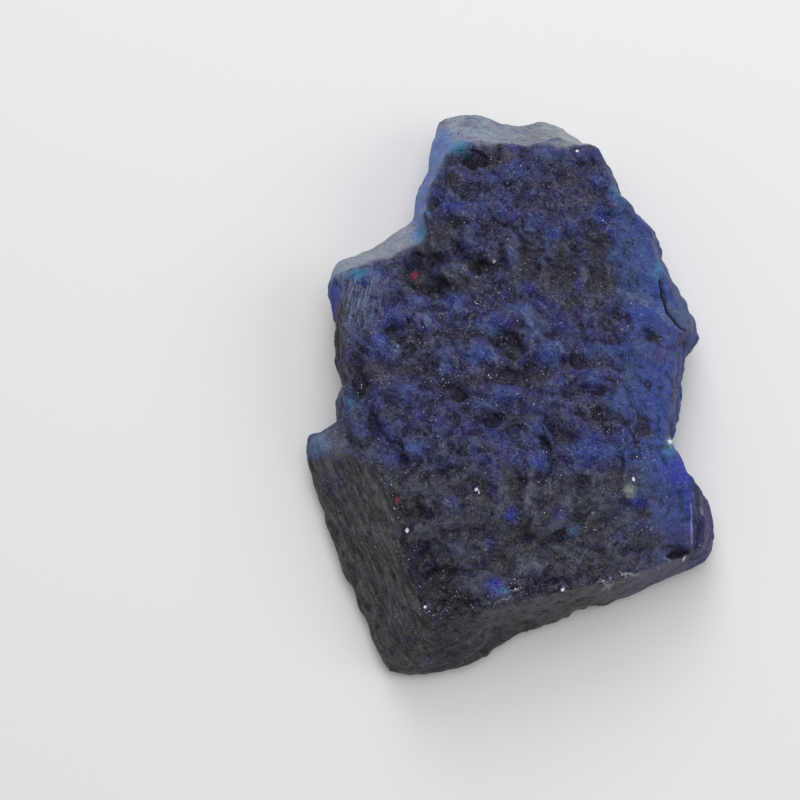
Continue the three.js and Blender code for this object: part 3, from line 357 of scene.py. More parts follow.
        (-20.8, -11.2, 1.6, 1.2, 0.4), (14.2, 12.0, 1.4, 1.0, 0.5), (6.8, 18.8, 1.8, 1.2, 0.4),
        (17.0, 3.4, 1.3, 0.7, 0.6),
    ],
    "crumb": [
        (-13.6, -21.5, 0.2, 0.3, 1.0), (-11.3, -31.1, 0.2, 0.2, 1.0), (-4.8, -16.5, 0.2, 0.2, 1.0),
        (-4.5, -16.9, 0.1, 0.2, 1.0), (6.0, -28.8, 0.2, 0.2, 1.0), (9.0, 29.3, 0.2, 0.2, 1.0),
        (-2.1, 14.3, 0.2, 0.2, 1.0), (-2.2, 14.0, 0.1, 0.1, 0.8), (-5.9, 13.2, 0.2, 0.1, 0.8),
        (20.2, -9.6, 0.3, 0.4, 0.8), (15.3, -14.7, 0.2, 0.3, 0.9), (22.0, -24.3, 0.2, 0.2, 0.8),
        (10.0, -19.1, 0.2, 0.2, 0.7), (-2.7, -30.1, 0.2, 0.1, 0.6), (-1.7, -30.1, 0.2, 0.1, 0.6),
        (-1.0, -29.8, 0.1, 0.1, 0.6), (-3.9, -30.7, 0.2, 0.1, 0.7), (0.1, -29.0, 0.2, 0.2, 0.8),
        (-15.2, -18.8, 0.2, 0.3, 0.7), (0.3, -29.3, 0.1, 0.1, 0.7), (-3.2, -30.6, 0.2, 0.1, 0.7),
        (18.5, -25.7, 0.3, 0.1, 0.6), (12.0, -27.4, 0.2, 0.2, 0.6), (15.8, -11.8, 0.1, 0.1, 0.9),
        (16.2, -12.0, 0.1, 0.1, 0.8),
    ],
    "dusk": [
        (-12.6, 0.8, 2.0, 1.2, 0.6), (-10.2, 8.2, 1.2, 0.8, 0.5), (-14.2, -0.8, 3.2, 1.2, 0.8),
        (-0.3, -1.4, 4.4, 1.1, 0.9), (-18.6, -1.2, 2.2, 1.8, 0.8), (-7.8, -3.4, 1.6, 1.0, 0.6),
        (10.2, -3.3, 2.4, 0.8, 0.7), (-16.0, -6.0, 2.6, 0.6, 0.6), (-5.5, -7.1, 2.6, 0.7, 0.6),
        (7.0, -9.6, 1.8, 1.3, 0.8), (-1.5, 24.0, 2.8, 0.9, 0.7), (-9.2, 20.8, 1.4, 2.4, 0.8),
        (8.4, 24.4, 2.6, 1.4, 0.6), (-3.0, 8.6, 1.2, 0.8, 0.7), (-15.6, 5.0, 1.0, 1.0, 0.8),
        (-2.4, 3.4, 1.0, 1.2, 0.8), (-9.4, 6.2, 1.0, 0.8, 0.6), (11.6, 6.2, 1.8, 1.2, 0.6),
        (4.0, -1.4, 1.4, 1.0, 0.7), (-12.4, -12.4, 1.6, 0.8, 0.6), (-6.2, -11.6, 1.2, 0.7, 0.6),
        (0.6, -10.1, 1.0, 0.6, 0.6), (3.7, -11.4, 1.0, 0.6, 0.5), (-16.0, -9.0, 0.9, 0.9, 0.5),
        (10.9, -6.4, 1.6, 1.1, 0.8), (16.8, -7.6, 1.0, 1.6, 0.7), (-19.4, 5.2, 0.6, 1.2, 0.7),
        (-7.0, 3.9, 0.8, 0.7, 0.6), (13.4, -7.6, 1.8, 0.7, 0.5), (-5.0, -22.6, 1.2, 1.6, 0.5),
        (-10.5, -27.0, 3.2, 3.4, 0.8), (2.6, 18.9, 1.0, 0.6, 0.4), (1.0, 21.2, 1.4, 0.6, 0.6),
        (5.0, 22.6, 1.8, 0.6, 0.5),
    ],
    "haze": [
        (-18.2, 12.4, 1.4, 0.8, 0.9), (-20.6, -10.8, 1.8, 1.6, 0.3), (6.6, 18.6, 2.0, 1.4, 0.7),
        (-18.6, 6.2, 1.2, 1.8, 0.8), (-11.0, 6.2, 1.2, 1.0, 0.8), (-12.2, 8.8, 1.4, 0.9, 0.6),
        (-7.4, 8.9, 1.4, 1.1, 0.7), (1.2, 7.5, 2.0, 1.3, 0.9), (2.6, 4.6, 0.9, 1.2, 0.9),
        (-4.0, 1.9, 1.3, 0.9, 0.4), (-1.8, 0.6, 0.9, 0.7, 0.8), (-8.2, 0.6, 0.9, 1.4, 0.7),
        (4.8, 1.3, 1.4, 1.2, 0.8), (-16.2, 3.0, 1.5, 1.0, 0.6), (-14.2, -3.2, 2.2, 0.9, 0.7),
        (-1.6, -4.9, 2.4, 0.8, 0.7), (5.0, -5.0, 1.6, 1.0, 0.6), (13.4, -4.8, 1.3, 1.2, 0.9),
        (11.6, 2.0, 1.6, 1.2, 0.7), (15.0, -1.0, 1.6, 1.6, 0.6), (-20.6, -6.8, 1.2, 1.6, 0.7),
        (-18.6, -11.8, 1.8, 1.0, 0.6), (-12.6, -11.3, 1.2, 0.7, 0.6), (-9.4, -9.4, 1.4, 0.8, 0.5),
        (-3.4, -10.8, 1.0, 0.6, 0.6), (5.2, 28.8, 2.4, 1.0, 0.8), (-4.2, 20.8, 1.2, 1.2, 0.6),
        (-5.0, 17.4, 1.0, 1.4, 0.7), (3.0, 18.2, 1.6, 0.7, 0.7), (4.6, 14.9, 0.7, 2.4, 0.9),
        (0.8, 15.4, 0.8, 2.2, 0.7), (16.8, 14.8, 2.0, 3.0, 0.9), (14.6, 20.4, 1.0, 2.6, 0.9),
        (15.6, 9.6, 1.6, 1.2, 0.8), (18.0, 1.2, 2.0, 1.4, 0.4), (7.8, 4.0, 1.2, 1.2, 0.6),
        (-2.0, -16.6, 0.7, 2.4, 0.7), (2.1, -17.0, 0.7, 2.8, 0.7), (7.0, -18.4, 0.6, 1.8, 0.6),
        (10.6, -16.0, 0.8, 2.0, 0.6), (14.2, -20.2, 1.6, 1.6, 0.8), (-7.2, -25.0, 1.2, 1.4, 0.7),
        (2.4, -26.2, 1.0, 0.9, 0.9), (16.6, -14.4, 1.6, 1.8, 0.7), (12.6, -18.6, 1.4, 1.0, 0.5),
        (-7.8, -18.5, 0.9, 0.9, 0.7), (18.2, -16.6, 1.5, 2.2, 0.7), (19.4, -20.2, 1.3, 1.3, 0.5),
    ],
    "vivid": [
        (21.3, -13.6, 1.3, 1.9, 1.0), (22.3, -16.8, 0.6, 1.6, 0.7), (-22.8, 11.0, 0.6, 1.2, 1.0),
        (-18.3, 11.5, 1.4, 0.6, 0.8), (2.2, 10.9, 0.6, 0.5, 0.9), (-0.5, -19.9, 0.5, 0.5, 0.9),
        (5.5, 17.7, 0.6, 0.5, 0.6), (-2.8, -28.4, 0.8, 0.6, 0.9), (15.6, -17.5, 0.6, 0.5, 0.8),
        (2.8, -13.3, 0.8, 0.6, 0.6), (17.6, 7.6, 1.4, 0.8, 0.5), (-7.1, 21.3, 1.2, 0.5, 0.7),
        (9.5, -11.0, 1.8, 1.2, 0.5), (11.6, 20.6, 0.8, 1.2, 0.5), (-16.9, 3.6, 0.7, 0.6, 0.5),
        (-3.9, 1.7, 0.7, 0.6, 0.4), (4.7, 1.2, 0.7, 0.6, 0.5), (-8.6, 11.0, 0.4, 0.4, 0.4),
        (13.4, -4.6, 0.7, 0.7, 0.4),
    ],
    "purple": [
        (-23.4, -13.8, 1.8, 2.2, 0.7), (19.2, 2.0, 1.6, 1.5, 0.8), (20.6, 5.2, 1.2, 1.0, 0.6),
        (24.0, 4.4, 1.8, 2.4, 1.0), (21.0, 3.2, 2.2, 1.2, 0.7), (22.4, -0.5, 1.2, 3.0, 0.7),
        (20.6, -26.0, 2.2, 0.8, 0.7), (10.1, 22.2, 1.2, 1.2, 0.6), (21.2, -21.6, 1.4, 1.8, 0.6),
        (3.0, 24.6, 1.8, 0.5, 0.5), (-9.6, 19.6, 0.9, 1.2, 0.5), (18.4, -1.6, 1.4, 1.4, 0.4),
        (6.6, 24.6, 1.6, 1.2, 0.5), (-4.6, 24.6, 1.6, 1.0, 0.4), (4.2, -0.9, 0.6, 0.5, 0.6),
        (9.6, -7.6, 1.2, 0.6, 0.5),
    ],
    # places of crowded painted glints
    "paintedGlitter": [
        (-6.4, 28.3, 0.7, 0.4, 0.8), (-1.2, 28.2, 1.8, 0.6, 1.0), (-0.4, 23.5, 0.5, 0.4, 1.0),
        (1.5, 23.6, 0.5, 0.4, 1.0), (-0.3, 21.1, 0.4, 0.4, 1.0), (1.6, 20.8, 1.0, 0.3, 1.0),
        (-5.1, 22.9, 0.3, 0.3, 0.9), (-7.8, 19.8, 0.3, 0.3, 0.9), (-4.6, 19.7, 0.3, 0.3, 0.9),
        (12.3, 24.0, 0.3, 0.3, 0.8), (-12.8, 11.7, 0.8, 0.6, 0.8), (5.5, 10.9, 1.0, 0.8, 1.0),
        (-4.0, 7.7, 1.2, 1.2, 0.8), (-11.9, 4.2, 1.0, 1.2, 0.8), (-0.4, 2.7, 0.9, 1.6, 0.9),
        (2.6, 0.2, 1.6, 0.4, 1.0), (5.0, 2.0, 0.4, 0.4, 1.0), (-8.9, -2.6, 0.8, 1.0, 0.9),
        (-13.7, -6.5, 0.6, 0.5, 0.8), (-16.2, -2.1, 0.8, 0.8, 0.8), (11.2, -8.3, 1.3, 1.2, 1.0),
        (18.0, -20.9, 2.0, 0.4, 1.0), (12.8, -27.2, 1.6, 0.6, 1.0), (24.3, -21.6, 0.6, 1.2, 1.0),
        (-9.5, -30.6, 2.6, 1.4, 0.8), (16.2, -11.9, 0.7, 0.4, 1.0), (18.7, -12.0, 0.5, 0.3, 0.9),
        (2.8, -19.2, 0.8, 0.5, 0.9), (-0.2, -28.6, 1.2, 0.7, 1.0), (-15.4, -15.6, 0.5, 1.2, 1.0),
        (-3.2, -30.6, 1.0, 0.5, 1.0),
    ],
}


# ---------- random fields ----------
# a whole number from each cell's indices, multiplied and folded until it looks random, over 2 to the 32
def cellRandom(i, j, k, channel):
    h = i.astype(np.uint32) * np.uint32(374761393) ^ j.astype(np.uint32) * np.uint32(668265263)
    h ^= k.astype(np.uint32) * np.uint32(1442695041) ^ np.uint32(channel * 974634777 % 4294967296)
    h = (h ^ (h >> np.uint32(15))) * np.uint32(2246822519)
    h = (h ^ (h >> np.uint32(13))) * np.uint32(3266489917)
    return (h ^ (h >> np.uint32(16))) / 4294967296.0


# a at 0, b at 1 and straight between them
def mix(a, b, t):
    return a + (b - a) * t


# 6 t^5 - 15 t^4 + 10 t^3: level at both ends
def ease(t):
    return t * t * t * (t * (6 * t - 15) + 10)


# 0 at low and before it, 1 at high and past it, eased between them
def step(low, high, value):
    return ease(np.clip((value - low) / (high - low), 0, 1))


# a random value at each corner of the unit cell, blended by ease along x, then y, then z; -1 to 1
def smoothField(p, channel):
    whole = np.floor(p).astype(np.int64)
    u, v, w = ease(p - whole).T
    i, j, k = whole.T

    def corner(a, b, c):
        return cellRandom(i + a, j + b, k + c, channel) * 2 - 1

    def face(c):
        return mix(mix(corner(0, 0, c), corner(1, 0, c), u), mix(corner(0, 1, c), corner(1, 1, c), u), v)

    return mix(face(0), face(1), w)


# smooth fields added up, each of half the size and a bit over half the height of the last
def layeredField(p, channel, layers):
    total, height, reach = 0, 1, 0
    for n in range(layers):
        total = total + height * smoothField(p * 2.03 ** n + 7.7 * n, channel + n)
        reach += height
        height *= 0.55
    return total / reach


# distance to the nearest of the random seeds, one in each unit cell, and that seed's own random number
def seedField(p, channel):
    whole = np.floor(p).astype(np.int64)
    nearest = np.full(len(p), 9.0)
    own = np.zeros(len(p))
    for a in (-1, 0, 1):
        for b in (-1, 0, 1):
            for c in (-1, 0, 1):
                i, j, k = (whole + (a, b, c)).T
                sx = i + cellRandom(i, j, k, channel) - p[:, 0]
                sy = j + cellRandom(i, j, k, channel + 1) - p[:, 1]
                sz = k + cellRandom(i, j, k, channel + 2) - p[:, 2]
                away = sx * sx + sy * sy + sz * sz
                closer = away < nearest
                nearest = np.where(closer, away, nearest)
                own = np.where(closer, cellRandom(i, j, k, channel + 3), own)
    return np.sqrt(nearest), own


# ---------- the coarse stone, the same as the solid ----------
# a rise that fades from its centre: rise * exp(-(distance in radii) squared), along turned axes
def bump(form, x, y):
    cx, cy, across, along, turn, rise = form
    c, s = math.cos(math.radians(turn)), math.sin(math.radians(turn))
    u = ((x - cx) * c + (y - cy) * s) / across
    v = ((y - cy) * c - (x - cx) * s) / along
    return rise * np.exp(-u * u - v * v)


# falls steeply to the drop on the side of larger x, between the line's two ends
def chipDrop(chip, x, y):
    fromX, fromY, toX, toY, drop, slope = chip
    length = math.hypot(toX - fromX, toY - fromY)
    ux, uy = (toX - fromX) / length, (toY - fromY) / length
    right = (y - fromY) * ux - (x - fromX) * uy
    alongLine = (x - fromX) * ux + (y - fromY) * uy
    onLine = step(-0.6, 0.6, alongLine) * step(-0.6, 0.6, length - alongLine)
    return onLine * np.clip(right * slope, 0, drop)


# the level of the crown with every swell, pit and lump added and the chips' drops taken off
def crownHeight(x, y):
    z = np.full(np.shape(x), stoneShape["crownLevel"])
    for form in broadForms + spots:
        z = z + bump(form, x, y)
    for chip in chips:
        z = z - chipDrop(chip, x, y)
    return z


# scalloped hollows with ridges between them, over swells and lumps, at a point in space
def coarseRelief(p):
    warpSize, warp = reliefShape["warp"]
    size, hollowHeight = reliefShape["hollows"]
    swellSize, swellHeight = reliefShape["swells"]
    lumpSize, lumpHeight = reliefShape["lumps"]
    warpX = p[:, 0] + warp * smoothField(p / warpSize, 20)
    warpY = p[:, 1] + warp * smoothField(p / warpSize, 21)
    longSize = size * reliefShape["hollowStretch"]
    near = seedField(np.stack((warpX / size, warpY / longSize, p[:, 2] / size), 1), 1)[0]
    hollow = np.minimum(1, reliefShape["hollowSlope"] * near)
    swell = smoothField(p / swellSize, 10)
    lump = smoothField(np.stack((warpX, warpY, p[:, 2]), 1) / lumpSize, 11)
    hollow = hollow * hollow - reliefShape["hollowLevel"]
    return hollowHeight * hollow + swellHeight * swell + lumpHeight * lump


# closed cubic through the stations at the given places
def outlineAt(places):
    whole = np.floor(places).astype(int)
    t = (places - whole)[:, None]
    count = len(stations)
    before, start, end, after = (stations[(whole + n) % count] for n in (-1, 0, 1, 2))
    leave = stoneShape["tension"] * (end - before)
    arrive = stoneShape["tension"] * (after - start)
    return mix(start, end, t * t * (3 - 2 * t)) + t * (1 - t) * ((1 - t) * leave - t * arrive)


# equal shares of half the way along the rim plus the way made good towards the side's far end
def placesAlongSide(first, last, cells):
    samples = np.linspace(first, last, 40 * (last - first) + 1)
    rim = outlineAt(samples)[:, 2:4]
    towards = (rim[-1] - rim[0]) / np.linalg.norm(rim[-1] - rim[0])
    moved = np.diff(rim, axis=0)
    made = 0.5 * np.linalg.norm(moved, axis=1) + np.maximum(0, moved @ towards) + 0.001
    travelled = np.concatenate(([0], np.cumsum(made)))
    return np.interp(travelled[-1] * np.arange(cells) / cells, travelled, samples)


# a moved the distance towards b, by less than half of the way
def stepTowards(a, b, distance):
    share = np.minimum(0.45, distance / np.linalg.norm(b - a, axis=-1, keepdims=True))
    return a + (b - a) * share


# quadratic curve from a to b that the corner pulls towards itself
def roundedCorner(a, corner, b, t):
    return mix(mix(a, corner, t), mix(corner, b, t), t)


# rows of the flank at each place: crown edge, rim, face, girdle, underside, foot, edge of the base
def flankRows(places):
    s = stoneShape
    gx, gy, rx, ry, gz, inset = outlineAt(places).T
    zero = np.zeros_like(gx)
    spine = np.stack((zero, s["spine"] * gy, zero), 1)
    rim = np.stack((rx, ry, crownHeight(rx, ry)), 1)
    girdle = np.stack((gx, gy, gz), 1)
    foot = stepTowards(np.stack((gx, gy, zero), 1), spine, inset[:, None])
    edge = stepTowards(rim, np.stack((zero, s["spine"] * ry, rim[:, 2]), 1), s["rimRound"])
    edge[:, 2] = crownHeight(edge[:, 0], edge[:, 1])
    rest = stepTowards(foot, spine, s["footRound"])
    belowRim = stepTowards(rim, girdle, s["rimRound"])
    aboveGirdle = stepTowards(girdle, rim, s["girdleRound"])
    belowGirdle = stepTowards(girdle, foot, s["girdleRound"])
    aboveFoot = stepTowards(foot, girdle, s["footRound"])

    # rows along a line or a rounded corner, all but the last
    def between(count, *curve):
        shape = mix if len(curve) == 2 else roundedCorner
        return [shape(*curve, n / count) for n in range(count)]

    rows = between(s["rimRows"], edge, rim, belowRim)
    rows += between(s["faceRows"], belowRim, aboveGirdle)
    rows += between(s["girdleRows"], aboveGirdle, girdle, belowGirdle)
    rows += between(s["underRows"], belowGirdle, aboveFoot)
    rows += between(s["footRows"], aboveFoot, foot, rest)
    return np.stack(rows + [rest])


# Coons patch: both pairs of opposite sides blended across, less the blend of the four corners
def patchInside(ring, across, along):
    left = ring[:along + 1][:, None]
    far = ring[along:along + across + 1][None]
    right = ring[along + across:2 * along + across + 1][::-1][:, None]
    near = np.concatenate((ring[2 * along + across:], ring[:1]))[::-1][None]
    u = np.linspace(0, 1, across + 1)[None, :, None]
    v = np.linspace(0, 1, along + 1)[:, None, None]
    sides = near * (1 - v) + far * v + left * (1 - u) + right * u
    ends = mix(mix(near[:, :1], near[:, -1:], u), mix(far[:, :1], far[:, -1:], u), v)
    return sides - ends


# four-sided faces of a patch whose border is a ring that is already there, and its new inside points
def fillRing(points, ring, across, along, finish, up):
    grid = patchInside(points[ring], across, along)
    numbers = np.full((along + 1, across + 1), -1)
    numbers[:, 0] = ring[:along + 1]
    numbers[-1, :] = ring[along:along + across + 1]
    numbers[:, -1] = ring[along + across:2 * along + across + 1][::-1]
    numbers[0, 1:] = ring[2 * along + across:][::-1]
    inner = (along - 1, across - 1)
    numbers[1:-1, 1:-1] = len(points) + np.arange(inner[0] * inner[1]).reshape(inner)
    inside = finish(grid[1:-1, 1:-1].reshape(-1, 3))
    a, b, c, d = numbers[:-1, :-1], numbers[:-1, 1:], numbers[1:, 1:], numbers[1:, :-1]
    quads = np.stack((a, b, c, d) if up else (a, d, c, b), -1).reshape(-1, 4)
    return np.concatenate((points, inside)), quads


# ring of half as many points one step further in, joined by three triangles to every two edges
def halveRing(points, ring, distance):
    kept = ring[::2]
    edge = points[kept]
    spine = edge * (0, stoneShape["spine"], 0)
    inner = len(points) + np.arange(len(kept))
    a, b, c = kept, ring[1::2], np.roll(kept, -1)
    d, e = inner, np.roll(inner, -1)
    triangles = np.concatenate([np.stack(t, 1) for t in ((a, b, d), (b, e, d), (b, c, e))])
    return np.concatenate((points, stepTowards(edge, spine, distance))), inner, triangles


# the whole closed surface: points, faces, and each flank point's place on the outline and way down
def coarseStone():
    s = stoneShape
    across, along = s["cellsAcross"], s["cellsAlong"]
    counts = (along, across, along, across)
    ends = corners[1:] + (len(stations),)
    places = np.concatenate([placesAlongSide(*side) for side in zip(corners, ends, counts)])
    rows = flankRows(places)
    rowCount, columnCount = rows.shape[:2]
    points = rows.reshape(-1, 3)
    numbers = np.arange(rowCount * columnCount).reshape(rowCount, columnCount)

    def onCrown(p):
        return np.stack((p[:, 0], p[:, 1], crownHeight(p[:, 0], p[:, 1])), 1)

    points, crownFaces = fillRing(points, numbers[0], across, along, onCrown, True)
    a, b = numbers[:-1], np.roll(numbers[:-1], -1, 1)
    d, c = numbers[1:], np.roll(numbers[1:], -1, 1)
    flankFaces = np.stack((a, b, c, d), -1).reshape(-1, 4)
    ring, strips = numbers[-1], []
    for distance in s["baseSteps"]:
        points, ring, strip = halveRing(points, ring, distance)
        strips.append(strip)
    coarser = 2 ** len(strips)
    across, along = across // coarser, along // coarser
    points, baseFaces = fillRing(points, ring, across, along, lambda p: p * (1, 1, 0), False)
    quads = np.concatenate((crownFaces, flankFaces, baseFaces))
    place = np.full(len(points), -1.0)
    place[:rows[..., 0].size] = np.tile(places, rowCount)
    down = np.where(points[:, 2] < 0.01, 1.5, 0)
    down[:rows[..., 0].size] = np.repeat(np.arange(rowCount) / (s["rimRows"] + s["faceRows"]), columnCount)
    return points, quads, np.concatenate(strips), place, down


# unit normals: each face's cross product of diagonals or sides, added up at its corners
def pointNormals(points, quads, triangles):
    total = np.zeros_like(points)
    for faces, ends in ((quads, (0, 2, 1, 3)), (triangles, (0, 1, 0, 2))):
        a, b, c, d = (points[faces[:, n]] for n in ends)
        cross = np.cross(b - a, d - c)
        for corner in faces.T:
            for axis in range(3):
                total[:, axis] += np.bincount(corner, cross[:, axis], len(points))
    return total / np.maximum(1e-9, np.linalg.norm(total, axis=1, keepdims=True))


# each value becomes the mean of itself and its neighbours along the faces' edges, again and again
def smoothed(values, quads, triangles, rounds):
    pairs = np.concatenate([np.stack(ends, 1) for faces in (quads, triangles)
                            for ends in zip(faces.T, np.roll(faces.T, -1, 0))])
    count = len(values)
    degree = np.bincount(pairs[:, 0], minlength=count) + 1.0
    for _ in range(rounds):
        columns = [values[:, n] + np.bincount(pairs[:, 0], values[pairs[:, 1], n], count)
                   for n in range(values.shape[1])]
        values = np.stack(columns, 1) / degree[:, None]
    return values


# ---------- the fine relief ----------
fineShape = {
    "billows": (2.5, 0.66),  # size and height of the largest; each further layer is about half of the last
    "layers": ("rough", "rough", "grainy"),  # zone that each layer of them lies in
    "crease": 0.55,  # share of folded layers, with rounded tops and narrow creases, against plain ones
    "pits": (1.9, 0.30),
    "pitChance": 0.25,  # share of the cells that hold a pit
    "turn": (0.62, 0.41, 0.27),  # of the fields, so that their cells don't line up with the stone
    "stretch": 1.45,  # of the billows, down to the right, and up to the right near the near end
    "streaks": 0.32,
    "nearStreaks": 0.3,  # share of them that the near flank has
    "foot": 0.7,  # roughness of the broken edge at the foot of the near flank
    "rimRounds": 60,  # rounds of smoothing that soften the rim of the left flank
    "wobble": (2.6, 1.1),  # size and reach of the wandering of the limits below
    # how far each kind of marking stands up, or lies low
    "rises": {"ultramarine": 0.36, "azure": 0.26, "haze": 0.22, "filmAndSheen": 0.22, "dusk": -0.26,
              "charcoal": -0.30, "black": -0.30},
}
# where each part of the flank begins and ends, counted in stations along the outline
stretches = {
    "leftFlank": (-1.2, 5.4),
    "shoulder": (16.6, 21.0),
    "tongueSide": (20.5, 25.0),
    "farBevel": (24.2, 32.2),
    "nearFlank": (53.5, 63.8),
}
# limits of parts of the stone: where there is none of each yet, and where it is whole
limits = {
    "rightSlope": (10, 20),  # in x
    "tongue": (16, 21),  # in y
    "nearBand": (-11, -16),
    "rightFlank": (-14, -11),
    "flank": (0.02, 0.12),  # in the share of the way down from the rim to the girdle
    "bevelled": (0, 0.3),
    "wornRim": (3.6, 1.2),  # in the distance from the rim of the left flank
    "wornAbove": (4, 8),  # in height
    "lowFlank": (5.5, 3.0),
    "footBelow": (4.0, 1.8),
    "footLeft": (-8, -2),  # in x
    "footRight": (16, 9),
    "cornerFacet": (22.5, 23.1),
    "cornerNear": (-14.5, -16),  # in y
}
# patches with a surface of their own, in the same form as the swells
patches = {
    "farLip": (6.4, 30.4, 2.6, 0.8, -8, 0.7),
    "lowShoulder": (-23.6, -9.0, 4.5, 3.6, 0, 0.6),
    "streaked": (-19.8, 9.2, 3.0, 4.4, -8, 1),
}
# small deep marks with sharper sides: x, y, across, along, turn, depth
slits = [
    (-7.0, -4.0, 0.3, 0.9, 50, -0.15),
    (-19.5, -2.6, 0.45, 1.0, 38, -0.2),
    (20.9, -24.0, 1.3, 0.25, 12, -0.5),
    (20.1, 10.2, 0.2, 2.2, 8, -0.45),  # crack beside the chipped facet
    (21.3, 6.9, 0.2, 1.8, 36, -0.45),
    (22.7, -18.6, 0.12, 3.4, 0, 0.25),  # thin edge of the near right facet
]


# a mark that is level in the middle and ends sharply: depth * exp(-(distance in radii) to the fourth)
def slit(form, x, y):
    whole = bump(form[:5] + (1,), x, y)
    return form[5] * np.exp(-np.log(np.maximum(1e-30, whole)) ** 2)


# 0 to 1 between the two limits of a part of the stone
def within(name, value):
    return step(*limits[name], value)


# 1 within a part of the flank and 0 elsewhere, softly from one to the other
def stretchOf(place, name, soft=0.8):
    first, last = stretches[name]
    count = len(stations)
    middle, half = (first + last) / 2, (last - first) / 2
    away = np.abs((place - middle + count / 2) % count - count / 2)
    return np.where(place < 0, 0, 1 - step(half - soft / 2, half + soft / 2, away))


# billows and pits, each by the share of its zone: a layer is height * (crease * folded field + the rest
# of the plain field), at about half the size and height of the last
def fineRelief(p, zones, lay):
    along = np.array(lay) / math.hypot(*lay)
    drawnOut = p + np.outer(p @ along, along) * (1 / fineShape["stretch"] - 1)
    turned = drawnOut @ np.array(Euler(fineShape["turn"]).to_matrix())
    q = turned + 0.35 * np.stack([smoothField(turned / 1.4, channel) for channel in (30, 31, 32)], 1)
    size, height = fineShape["billows"]
    crease = fineShape["crease"]
    relief = np.zeros(len(p))
    for layer, zone in enumerate(fineShape["layers"]):
        field = smoothField(q / size + 5.3 * layer, 40 + layer)
        relief = relief + zones[zone] * height * (crease * (2.4 * np.abs(field) - 0.8) + (1 - crease) * field)
        size, height = 0.48 * size, 0.5 * height
    size, depth = fineShape["pits"]
    near, own = seedField(q / size, 70)
    radius = 0.16 + 0.2 * own / fineShape["pitChance"]
    pit = np.where(own < fineShape["pitChance"], np.exp(-(near / radius) ** 2), 0)
    return relief - zones["pitted"] * depth * pit


# grooves along a direction: a field squeezed across it and stretched along it
def streaks(p, along, across, size, stretch, channel):
    u = p @ np.array(along) / (size * stretch)
    v = p @ np.array(across) / size
    return layeredField(np.stack((u, v, 0.3 * u), 1), channel, 3)


# the strongest of a kind of marking at each point: strength * exp(-0.45 * (distance in radii) squared),
# from a place that wanders by up to the given distances, less for small marks
def marking(kind, x, y, wanderX, wanderY):
    total = np.zeros(len(x))
    for cx, cy, across, along, strength in stains[kind]:
        reach = min(1, across * along)
        away = ((x + reach * wanderX - cx) / across) ** 2 + ((y + reach * wanderY - cy) / along) ** 2
        total = np.maximum(total, strength * np.exp(-0.45 * away))
    return total


print("stone: coarse surface")
points, quads, triangles, place, down = coarseStone()
normals = pointNormals(points, quads, triangles)
resting = points[:, 2] < 0.01
level = step(*stoneShape["levelFrom"], normals[:, 2])
share = mix(stoneShape["flankShare"], 1, level) * step(*stoneShape["bareBelow"], points[:, 2])
share = share * mix(1, stoneShape["rightShare"], step(*stoneShape["rightFrom"], points[:, 0]))
points = points + normals * (share * coarseRelief(points))[:, None]
points[:, 2] = np.where(resting, 0, np.maximum(0, points[:, 2]))

# the rim of the cleaved left flank is worn rounder than the rest
x, y, z = points.T
leftRim = outlineAt(np.linspace(-1.5, 6.3, 60) % len(stations))[:, 2:4]
toRim = np.sqrt(((points[:, None, :2] - leftRim[None]) ** 2).sum(2).min(1))
wornRim = within("wornRim", toRim) * within("wornAbove", z)
worn = smoothed(points, quads, triangles, fineShape["rimRounds"])
points = points + (worn - points) * wornRim[:, None]

print("stone: fine relief")
x, y, z = points.T
wobbleSize, wobbleReach = fineShape["wobble"]
wobble = wobbleReach * smoothField(points / wobbleSize, 80)
wavered = np.where(place < 0, -1, place + 0.4 * wobble)
flank = within("flank", down)
bevelled = within("bevelled", down)
leftFlank = stretchOf(place + 0.3 * wobble, "leftFlank") * flank
nearFlank = stretchOf(place, "nearFlank") * flank
farBevel = stretchOf(wavered, "farBevel") * bevelled
farBevel = np.maximum(farBevel, bump(patches["farLip"], x, y))
tongueSide = stretchOf(wavered, "tongueSide") * bevelled
shoulder = stretchOf(wavered, "shoulder") * bevelled
lowShoulder = bump(patches["lowShoulder"], x, y)
smooth = np.maximum.reduce([leftFlank, nearFlank, farBevel, 0.7 * tongueSide, 0.8 * shoulder, lowShoulder,
                            0.6 * wornRim])
rightSlope = within("rightSlope", x + wobble)
tongue = within("tongue", y + wobble)
nearBand = within("nearBand", y + wobble)
rightFlank = rightSlope * flank * within("rightFlank", y)
zones = {
    "rough": (1 - 0.35 * tongue) * (1 - 0.75 * smooth) * (1 - 0.55 * rightSlope + 0.35 * rightFlank)
             * (1 - 0.5 * flank + 0.2 * rightFlank),
    "grainy": (1 - 0.6 * smooth) * (1 - 0.3 * rightSlope) * (1 - 0.4 * flank),
    "pitted": (1 - 0.9 * np.maximum(nearFlank, farBevel)) * (1 - 0.5 * leftFlank) * (1 - 0.5 * rightSlope),
}
relief = mix(fineRelief(points, zones, (1, -1, 0)), fineRelief(points, zones, (1, 1, 0)), nearBand)
for form in slits:
    relief = relief + slit(form, x, y)

# markings, fainter low down on the flanks, and the rises and dips that go with them
lowFlank = flank * within("lowFlank", z + 0.7 * wobble)
fade = 1 - 0.85 * np.maximum(lowFlank, rightFlank * step(0.15, 0.5, down + 0.08 * wobble))
wander = [0.5 * smoothField(points / 1.2, channel) + 0.3 * smoothField(points / 0.5, channel + 2)
          for channel in (84, 85)]
marks = {kind: fade * marking(kind, x, y, *wander) for kind in stains}
for kind, rise in fineShape["rises"].items():
    relief = relief + rise * marks[kind] * (1 - 0.5 * rightSlope)

